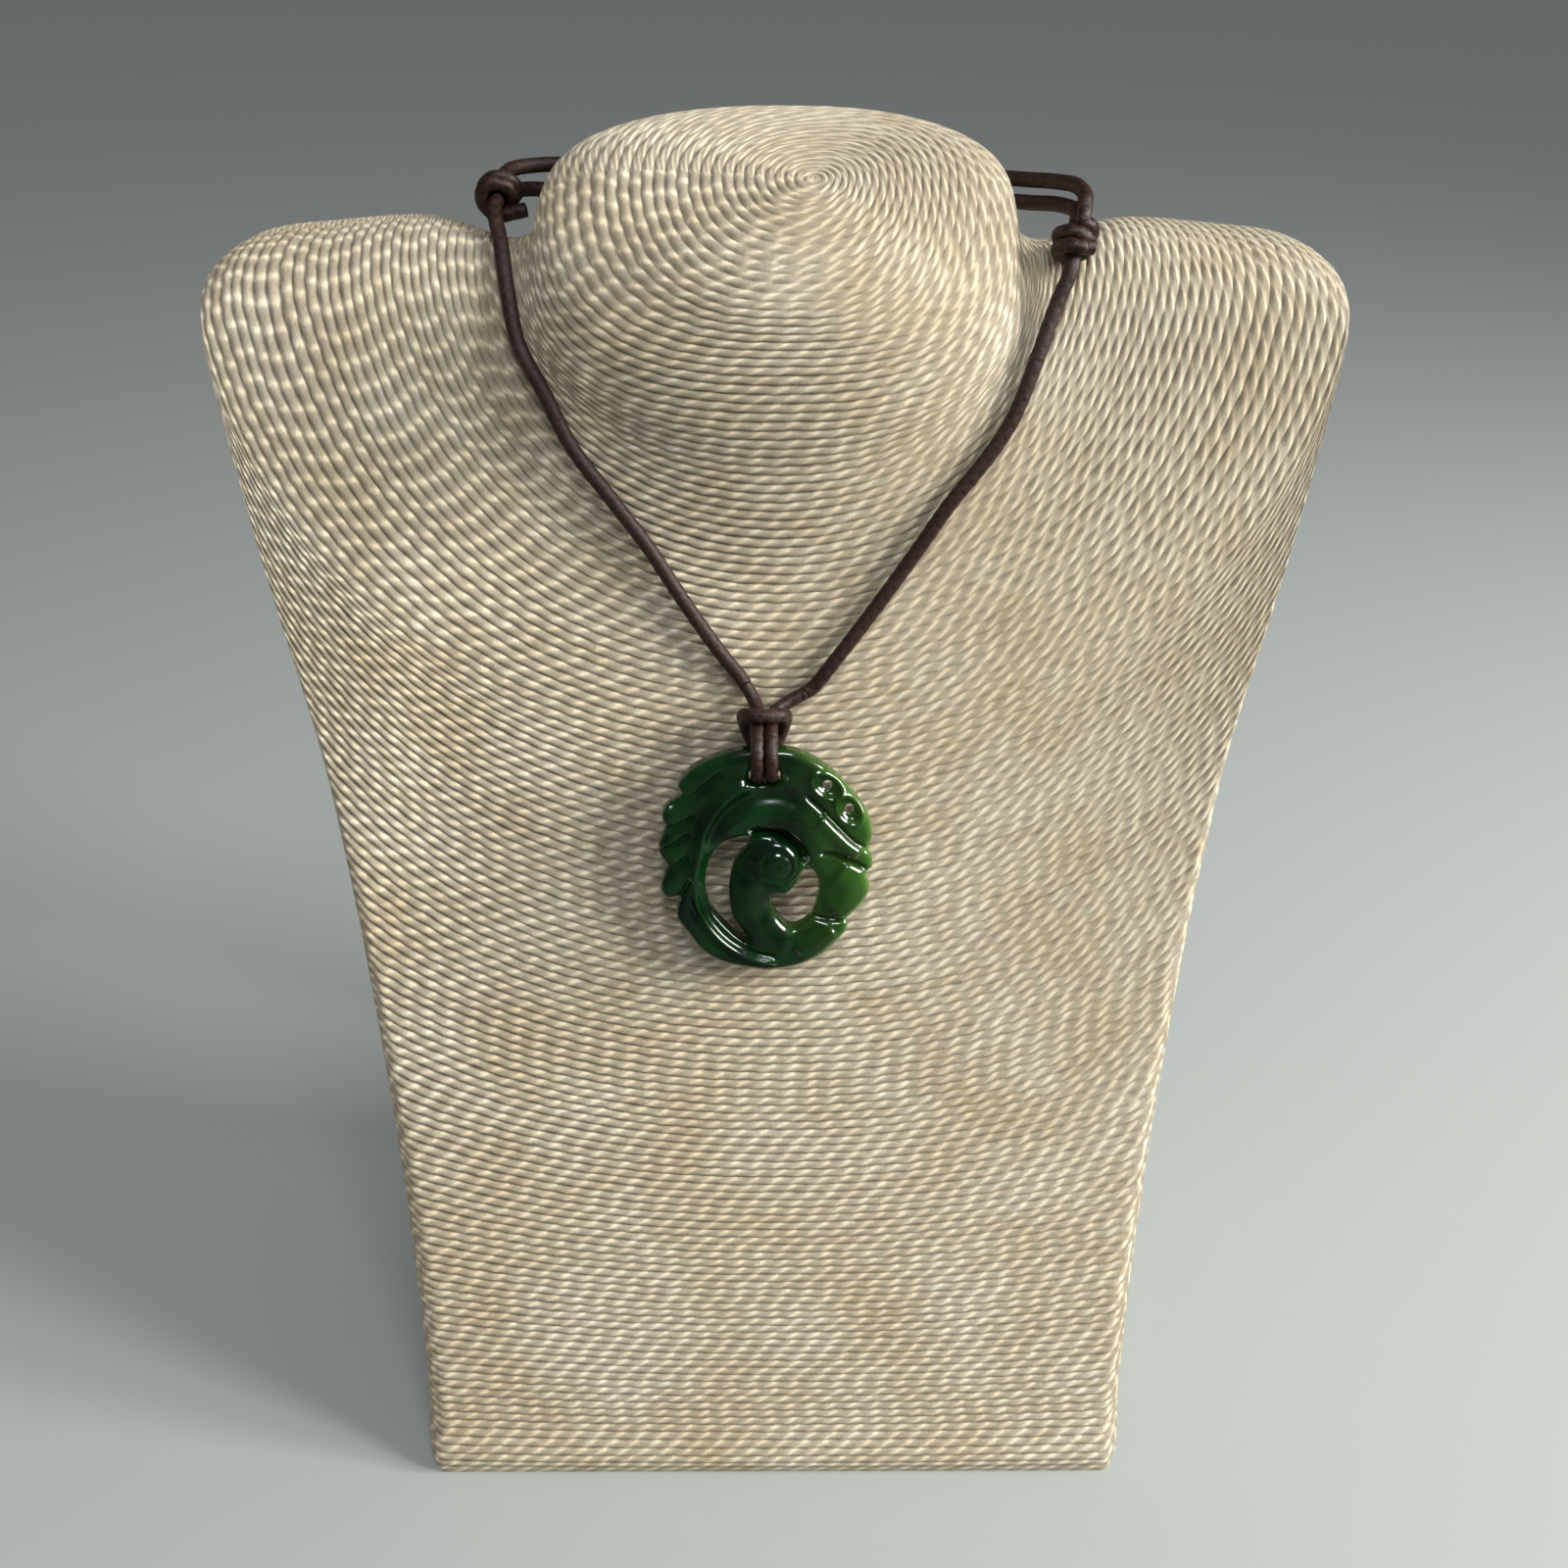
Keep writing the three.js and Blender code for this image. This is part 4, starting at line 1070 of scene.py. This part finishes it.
    def distance_round(self, patch: RopePatch, place: np.ndarray, surface: np.ndarray) -> np.ndarray:
        """Measures along the rows from the middle of the front, on past the right side to the back.

        Args:
            patch: The patch.
            place: The turn of each line of points.
            surface: The lines' points.

        Returns:
            The distance of each point.
        """
        run = add_up(np.linalg.norm(np.diff(surface, axis=1), axis=2))
        run -= run[:, run.shape[1] // 2, None]
        if patch.face is Face.FRONT:
            return run
        front = np.diff(self.half_turns(place, Face.FRONT, patch.along), axis=1)
        half_front = np.linalg.norm(front, axis=2).sum(axis=1)[:, None] / 2
        return half_front + run[:, -1:] - run

    def open_gap(self, parting: np.ndarray, share: np.ndarray) -> np.ndarray:
        """Spreads the opening between two rows to the lines of points beside their seam.

        Args:
            parting: How far the rows part at each point of a seam, and 0 elsewhere.
            share: Each line's place across its row.

        Returns:
            The opening at each point.
        """
        gap = parting.copy()
        above, below = share[:-1, None] > 0.8, (share[1:, None] < 0.2) & (share[1:, None] > 0.01)
        gap[:-1] = np.maximum(gap[:-1], np.where(above, np.roll(gap, -1, axis=0)[:-1], 0.0))
        gap[1:] = np.maximum(gap[1:], np.where(below, np.roll(gap, 1, axis=0)[1:], 0.0))
        return gap

    def build_patch(self, patch: RopePatch) -> bpy.types.Object:
        """Makes one patch of rope rows and returns it."""
        base = np.arange(patch.first, patch.last)
        lines = (base[:, None] + np.array(self.shares)).ravel()
        lines = np.concatenate([lines, [float(patch.last)]])
        place = np.clip(lines, self.first_line, LAST_TURN)
        surface = self.half_turns(place, patch.face, patch.along)
        far = self.distance_round(patch, place, surface)
        downward = np.gradient(surface, axis=0) / np.gradient(lines)[:, None, None]
        outward = np.cross(downward, np.gradient(surface, axis=1))
        if patch.face is Face.BACK:
            outward = -outward
        outward /= np.maximum(1e-9, np.linalg.norm(outward, axis=2))[:, :, None]
        share = lines - np.floor(lines)
        seam = share[:, None] < 0.01
        row = np.minimum(np.floor(lines).astype(int), patch.last - 1)
        row = np.repeat(row[:, None], surface.shape[1], axis=1)
        count = np.arange(surface.shape[1])
        ends = np.clip(np.minimum(count, count[::-1]) / self.ends_still, 0, 1)[None, :]
        stray = self.wander(row, far) * ends
        before = self.wander(np.maximum(row - 1, 0), far) * ends
        parting = np.clip(stray - before, 0.0, 1.0)
        stray = np.where(seam, (stray + before) / 2, stray)
        pitch = np.linalg.norm(downward, axis=2)
        fade = np.clip(np.minimum(lines, LAST_TURN - lines) / 2, 0, 1)[:, None]
        bow = np.sqrt(np.clip(1 - (2 * share - 1) ** 2, 0, 1))[:, None]
        sink = ((1 - bow) * pitch * self.depth_share
                + np.where(seam, parting * pitch * self.parting_depth, 0.0))
        sink = np.where(lines[:, None] > LAST_TURN - 0.5, 0.0, sink)
        points = surface + downward * (stray * fade)[:, :, None] - outward * sink[:, :, None]
        points[:, :, 2] = np.maximum(points[:, :, 2], 0.0)
        mesh, column, line = grid_mesh(patch.name, surface.shape[1] - 1, len(lines) - 1)
        uv = np.stack([far[line, column], np.minimum(lines[line], patch.last - 1e-4)], axis=1)
        lay_points(mesh, points[line, column], uv)
        gap = self.open_gap(np.where(seam, parting, 0.0), share)
        point_value(mesh, "parting", gap[line, column] * 2.0)
        self.face_outwards(mesh)
        return add_piece(mesh, StrawRope().material())

    def face_outwards(self, mesh: bpy.types.Mesh) -> None:
        """Turns a patch's faces away from the middle of the bust and smooths them."""
        with edited(mesh) as shape:
            bmesh.ops.remove_doubles(shape, verts=shape.verts, dist=WELD)
            lean = 0.0
            for face in shape.faces:
                centre = face.calc_center_median()
                inside = Vector((0.0, 0.008, centre.z * 0.9))
                lean += face.normal.dot(centre - inside) * face.calc_area()
                face.smooth = True
            if lean < 0:
                bmesh.ops.reverse_faces(shape, faces=shape.faces)

    def build_sole(self) -> bpy.types.Object:
        """Makes the flat underside of the foot."""
        low = np.array([LAST_TURN - 0.1])
        front, back = (self.half_turns(low, face, 60)[0] for face in (Face.FRONT, Face.BACK))
        rim = [*front, *back[-2:0:-1]]
        mesh = bpy.data.meshes.new("bust_sole")
        with edited(mesh) as shape:
            edge = [shape.verts.new((x * self.sole_share, y * self.sole_share, 0.0)) for x, y, _ in rim]
            lifted = bmesh.ops.extrude_face_region(shape, geom=[shape.faces.new(edge)])
            tops = [item for item in lifted["geom"] if isinstance(item, bmesh.types.BMVert)]
            bmesh.ops.translate(shape, verts=tops, vec=(0.0, 0.0, self.sole_thick))
            bmesh.ops.recalc_face_normals(shape, faces=shape.faces)
        return add_piece(mesh, PressedBoard().material())

    def build(self) -> None:
        """Makes every patch of rope and the sole."""
        for patch in self.patches:
            piece = self.build_patch(patch)
            if patch.name == "rope_chest_front":
                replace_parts(piece, "bust")
        self.build_sole()


# The pendant's outline: smooth runs that meet at the notches, clockwise from the top feather
EDGE: dict[str, tuple[Flat, ...]] = {
    "crown": (
        (-0.367, 0.304), (-0.389, 0.335), (-0.35, 0.386), (-0.261, 0.443), (-0.137, 0.482),
        (0.018, 0.494), (0.146, 0.486), (0.248, 0.443), (0.343, 0.375), (0.425, 0.292), (0.485, 0.208),
        (0.509, 0.116), (0.489, 0.055)),
    "upper_lip": (
        (0.489, 0.055), (0.513, 0.004), (0.511, -0.031), (0.482, -0.059)),
    "lower_lip": (
        (0.482, -0.059), (0.502, -0.124), (0.476, -0.186), (0.396, -0.269)),
    "keel": (
        (0.396, -0.269), (0.403, -0.306), (0.356, -0.373), (0.27, -0.447), (0.15, -0.496),
        (0.022, -0.51), (-0.179, -0.48), (-0.279, -0.429), (-0.352, -0.341), (-0.407, -0.257),
        (-0.389, -0.165)),
    "feather_four": (
        (-0.389, -0.165), (-0.449, -0.173), (-0.478, -0.129), (-0.445, -0.024)),
    "feather_three": (
        (-0.445, -0.024), (-0.485, 0.057), (-0.449, 0.147)),
    "feather_two": (
        (-0.449, 0.147), (-0.462, 0.218), (-0.367, 0.304)),
}
OPENING_LEFT: tuple[Flat, ...] = (
    (-0.173, 0.086), (-0.235, 0.027), (-0.268, -0.11), (-0.243, -0.22), (-0.177, -0.302),
    (-0.075, -0.384), (-0.064, -0.373), (-0.142, -0.251), (-0.157, -0.141), (-0.137, -0.024),
    (-0.06, 0.086), (-0.066, 0.11),
)
OPENING_RIGHT: tuple[Flat, ...] = (
    (0.21, -0.025), (0.159, -0.106), (0.108, -0.153), (0.06, -0.151), (0.038, -0.18), (0.075, -0.263),
    (0.137, -0.31), (0.217, -0.271), (0.254, -0.186), (0.261, -0.09),
)


class Cut(Enum):
    """How a carved line shapes the face of the stone."""

    ROLL = "roll"
    CREASE = "crease"
    GROOVE = "groove"


@dataclass(frozen=True)
class CarvedLine:
    """One line carved in the pendant's face; wide and high are in metres."""

    cut: Cut
    line: tuple[Flat, ...]
    wide: float
    high: float


@dataclass(frozen=True)
class Eye:
    """A drilled eye in an almond-shaped hollow."""

    at: Flat
    turn: float
    long: float = 0.0031
    wide: float = 0.0021
    drill: float = 0.00108
    deep: float = 0.0010


def distance_to(points: np.ndarray, line: np.ndarray) -> tuple[np.ndarray, np.ndarray]:
    """Measures how far points are from a line.

    Args:
        points: Flat points.
        line: The line's points.

    Returns:
        Each point's distance, and how far along the line its nearest place is, from 0 to 1.
    """
    best = np.full(len(points), 1e9)
    share = np.zeros(len(points))
    run = distance_along(line)
    for i, (start, stop) in enumerate(zip(line, line[1:])):
        step = stop - start
        t = np.clip(((points - start) @ step) / max(1e-18, step @ step), 0.0, 1.0)
        gap = np.linalg.norm(points - start - t[:, None] * step, axis=1)
        nearer = gap < best
        best = np.where(nearer, gap, best)
        share = np.where(nearer, (run[i] + t * (run[i + 1] - run[i])) / run[-1], share)
    return best, share


def ridge(away: np.ndarray, wide: float) -> np.ndarray:
    """Returns the height of a rounded ridge, 1 along its line and near 0 past its width."""
    return np.exp(-((away / wide) ** 2))


@dataclass
class JadePendant:
    """The pierced stone: an outline with openings, rounded and carved in low relief."""

    plate: float = 0.0046
    voxel: float = 0.00024
    edge_round: float = 0.0026
    lines: tuple[CarvedLine, ...] = (
        CarvedLine(Cut.ROLL, ((-0.0152, -0.0075), (-0.0136, 0.0006), (-0.0114, 0.0086), (-0.0078, 0.0142),
                              (-0.0034, 0.0176), (0.0030, 0.0188), (0.0086, 0.0170)), 0.0013, 0.0013),
        CarvedLine(Cut.GROOVE, ((-0.0120, 0.0026), (-0.0098, 0.0082), (-0.0062, 0.0124), (-0.0012, 0.0148),
                                (0.0046, 0.0148), (0.0088, 0.0122)), 0.0013, 0.0007),
        CarvedLine(Cut.ROLL, ((-0.0088, 0.0044), (-0.0054, 0.0092), (0.0002, 0.0112), (0.0062, 0.0100),
                              (0.0112, 0.0060), (0.0136, 0.0000)), 0.0026, 0.0009),
        CarvedLine(Cut.GROOVE, ((-0.0040, 0.0060), (0.0004, 0.0070), (0.0046, 0.0060), (0.0078, 0.0030),
                                (0.0094, -0.0014)), 0.0009, 0.0026),
        CarvedLine(Cut.CREASE, ((-0.0146, -0.0056), (-0.0134, -0.0111), (-0.0105, -0.0163),
                                (-0.0068, -0.0201), (-0.0021, -0.0228), (0.0042, -0.0240)),
                   0.0005, 0.0011),
        CarvedLine(Cut.ROLL, ((0.0070, -0.0196), (0.0006, -0.0166), (-0.0022, -0.0116), (-0.0026, -0.0062),
                              (-0.0008, -0.0018)), 0.0026, 0.0012),
        CarvedLine(Cut.ROLL, ((0.0150, -0.0020), (0.0180, -0.0054), (0.0174, -0.0094), (0.0148, -0.0122)),
                   0.0032, 0.0014),
        CarvedLine(Cut.ROLL, ((0.0116, 0.0108), (0.0160, 0.0058), (0.0206, 0.0014)), 0.0018, 0.0010),
        CarvedLine(Cut.ROLL, ((0.0070, -0.0212), (0.0120, -0.0186), (0.0158, -0.0158)), 0.0022, 0.0009),
        CarvedLine(Cut.GROOVE, ((0.0082, 0.0160), (0.0122, 0.0122), (0.0160, 0.0080), (0.0196, 0.0044),
                                (0.0240, 0.0020)), 0.0005, 0.0012),
        CarvedLine(Cut.GROOVE, ((0.0112, 0.0022), (0.0150, 0.0018), (0.0190, 0.0000), (0.0240, -0.0034)),
                   0.0006, 0.0014),
        CarvedLine(Cut.GROOVE, ((0.0086, -0.0122), (0.0140, -0.0136), (0.0208, -0.0134)), 0.0005, 0.0013),
        CarvedLine(Cut.GROOVE, ((-0.0200, 0.0122), (-0.0156, 0.0140), (-0.0112, 0.0176), (-0.0076, 0.0206)),
                   0.0006, 0.0010),
        CarvedLine(Cut.GROOVE, ((-0.0228, 0.0074), (-0.0180, 0.0080), (-0.0136, 0.0106)), 0.0006, 0.0011),
        CarvedLine(Cut.GROOVE, ((-0.0232, 0.0020), (-0.0190, 0.0034), (-0.0148, 0.0066)), 0.0006, 0.0011),
        CarvedLine(Cut.GROOVE, ((-0.0224, -0.0030), (-0.0184, -0.0014), (-0.0152, 0.0016)), 0.0006, 0.0011),
        CarvedLine(Cut.GROOVE, ((-0.0186, -0.0096), (-0.0168, -0.0072), (-0.0150, -0.0036)),
                   0.0006, 0.0011),
    )
    eyes: tuple[Eye, ...] = (Eye((0.0135, 0.0173), -0.62), Eye((0.0181, 0.0120), -1.05))
    line_ends: float = 0.12
    front_high: float = 0.0002
    back_high: float = 0.0004
    bulb: Flat = (0.0031, -0.0002)
    bulb_reach: float = 0.0054
    bulb_high: float = 0.0019
    ring: float = 0.0030
    ring_wide: float = 0.00036
    ring_deep: float = 0.0005
    pit_wide: float = 0.0005
    pit_deep: float = 0.0004
    eye_rim: float = 0.0005
    edge_high: float = 0.42
    edge_power: float = 2.2
    polish: int = 3
    hole_wide: float = 0.0066
    hole_high: float = 0.0038

    def rim(self) -> np.ndarray:
        """Returns the outline as a closed line."""
        runs = [smooth_line([on_face(place) for place in run], 0.0006)[:-1] for run in EDGE.values()]
        return np.vstack(runs)

    def cord_hole(self) -> np.ndarray:
        """Returns the oval hole that the cord goes through."""
        angle = np.linspace(0.0, 2 * np.pi, 48, endpoint=False)
        side = np.sign(np.cos(angle)) * (self.hole_wide - self.hole_high) / 2
        radius = self.hole_high / 2
        oval = np.stack([side + np.cos(angle) * radius, np.sin(angle) * radius], axis=1)
        return oval + np.array(on_face(HOLE_AT))

    def drills(self) -> list[np.ndarray]:
        """Returns the round holes of the eyes."""
        angle = np.linspace(0.0, 2 * np.pi, 28, endpoint=False)
        circle = np.stack([np.cos(angle), np.sin(angle)], axis=1)
        return [np.array(eye.at) + circle * eye.drill for eye in self.eyes]

    def holes(self) -> list[np.ndarray]:
        """Returns every opening's outline, the eyes' apart."""
        cuts = [smooth_line([on_face(place) for place in line], 0.0006, True)
                for line in (OPENING_LEFT, OPENING_RIGHT)]
        return [*cuts, self.cord_hole()]

    def blank(self) -> bpy.types.Mesh:
        """Cuts the stone's outline out of a plate and turns it into an even fine mesh."""
        data = bpy.data.curves.new("pendant_outline", "CURVE")
        data.dimensions = "2D"
        data.fill_mode = "BOTH"
        data.extrude = self.plate / 2
        for outline in (self.rim(), *self.holes(), *self.drills()):
            spline = data.splines.new("POLY")
            spline.points.add(len(outline) - 1)
            corners = np.tile((0.0, 0.0, 0.0, 1.0), (len(outline), 1))
            corners[:, :2] = outline
            spline.points.foreach_set("co", corners.ravel())
            spline.use_cyclic_u = True
        cut = bpy.data.objects.new("pendant_outline", data)
        bpy.context.scene.collection.objects.link(cut)
        rough = bpy.data.meshes.new_from_object(cut.evaluated_get(bpy.context.evaluated_depsgraph_get()))
        bpy.data.objects.remove(cut)
        bpy.data.curves.remove(data)
        close_up(rough, 1e-6, caps=False)
        solid = bpy.data.objects.new("pendant_blank", rough)
        bpy.context.scene.collection.objects.link(solid)
        evened = solid.modifiers.new("evened", "REMESH")
        evened.mode = "VOXEL"
        evened.voxel_size = self.voxel
        made = bpy.data.meshes.new_from_object(solid.evaluated_get(bpy.context.evaluated_depsgraph_get()))
        bpy.data.objects.remove(solid)
        bpy.data.meshes.remove(rough)
        made.name = "jade_figure"
        return made

    def relief(self, flat: np.ndarray) -> np.ndarray:
        """Works out how high the front stands above the plate.

        Args:
            flat: Points in the pendant's plane.

        Returns:
            The height at each point, in metres.
        """
        high = np.full(len(flat), self.front_high)
        for carved in self.lines:
            gap, share = distance_to(flat, smooth_line(carved.line, 0.0005))
            ends = ease(np.clip(np.minimum(share, 1 - share) / self.line_ends, 0.0, 1.0))
            shape = ridge(gap, carved.wide)
            if carved.cut is Cut.GROOVE:
                shape = -shape
            elif carved.cut is Cut.CREASE:
                shape = shape - 0.6 * ridge(gap - 2.4 * carved.wide, 1.3 * carved.wide)
            high += carved.high * ends * shape
        away = np.linalg.norm(flat - np.array(self.bulb), axis=1)
        high += self.bulb_high * np.clip(1 - (away / self.bulb_reach) ** 2, 0.0, 1.0) ** 0.6
        high -= self.ring_deep * ridge(away - self.ring, self.ring_wide)
        high -= self.pit_deep * ridge(away, self.pit_wide)
        for eye in self.eyes:
            cosine, sine = math.cos(eye.turn), math.sin(eye.turn)
            own = (flat - np.array(eye.at)) @ np.array([[cosine, sine], [-sine, cosine]]).T
            inside = np.hypot(own[:, 0] / eye.long, own[:, 1] / eye.wide)
            high -= eye.deep * ease(np.clip((1.05 - inside) / 0.4, 0.0, 1.0))
            high += self.eye_rim * ridge(inside - 1.22, 0.13)
        return high

    def painted_glow(self, across: np.ndarray, edge: np.ndarray) -> np.ndarray:
        """Works out where the stone is painted lighter as if lit through, most along its right edges and
        over its right side.

        Args:
            across: How far right of the middle each point is.
            edge: Each point's distance from the nearest edge.

        Returns:
            A share from 0 to 1 for each point.
        """
        # painted light: a glow along the edges towards the right, and a lighter right side
        glow = np.clip(1 - edge / 0.0016, 0.0, 1.0) * np.clip((across + 0.004) / 0.024, 0.0, 1.0)
        right = np.clip((across - 0.006) / 0.016, 0.0, 1.0) * 0.42
        return np.clip(glow * 0.55 + right, 0.0, 1.0)

    def build(self) -> bpy.types.Object:
        """Makes the pendant and returns it."""
        mesh = self.blank()
        points = read_points(mesh)
        flat = points[:, :2]
        edge = np.full(len(flat), 1e9)
        for outline in (self.rim(), *self.holes()):
            gap, _ = distance_to(flat, np.vstack([outline, outline[:1]]))
            edge = np.minimum(edge, gap)
        near = np.clip(edge / self.edge_round, 0.0, 1.0)
        rounded = (1 - (1 - near) ** self.edge_power) ** (1 / self.edge_power)
        rounded = self.edge_high + (1 - self.edge_high) * rounded
        half = self.plate / 2
        share = points[:, 2] / half
        front = np.clip(share, 0.0, None) * (half + self.relief(flat)) * rounded
        back = np.clip(share, None, 0.0) * (half + self.back_high) * rounded
        points[:, 2] = front + back + PENDANT_THICK / 2
        mesh.vertices.foreach_set("co", points.ravel())
        point_value(mesh, "painted_glow", self.painted_glow(flat[:, 0], edge))
        with edited(mesh) as shape:
            for _ in range(self.polish):
                bmesh.ops.smooth_vert(shape, verts=shape.verts, factor=0.5,
                                      use_axis_x=True, use_axis_y=True, use_axis_z=True)
            bmesh.ops.transform(shape, matrix=pendant_matrix(), verts=shape.verts)
            for face in shape.faces:
                face.smooth = True
        piece = add_piece(mesh, GreenJade().material())
        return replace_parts(piece, "pendant")


def main() -> None:
    """Builds the whole scene."""
    logging.basicConfig(level=logging.INFO, format="%(name)s: %(message)s")
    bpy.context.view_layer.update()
    PhotoCamera().build()
    twist_group()
    NeckCord().build()
    JadePendant().build()
    RopeBust().build()
    Studio().build()


if __name__ == "__main__":
    main()
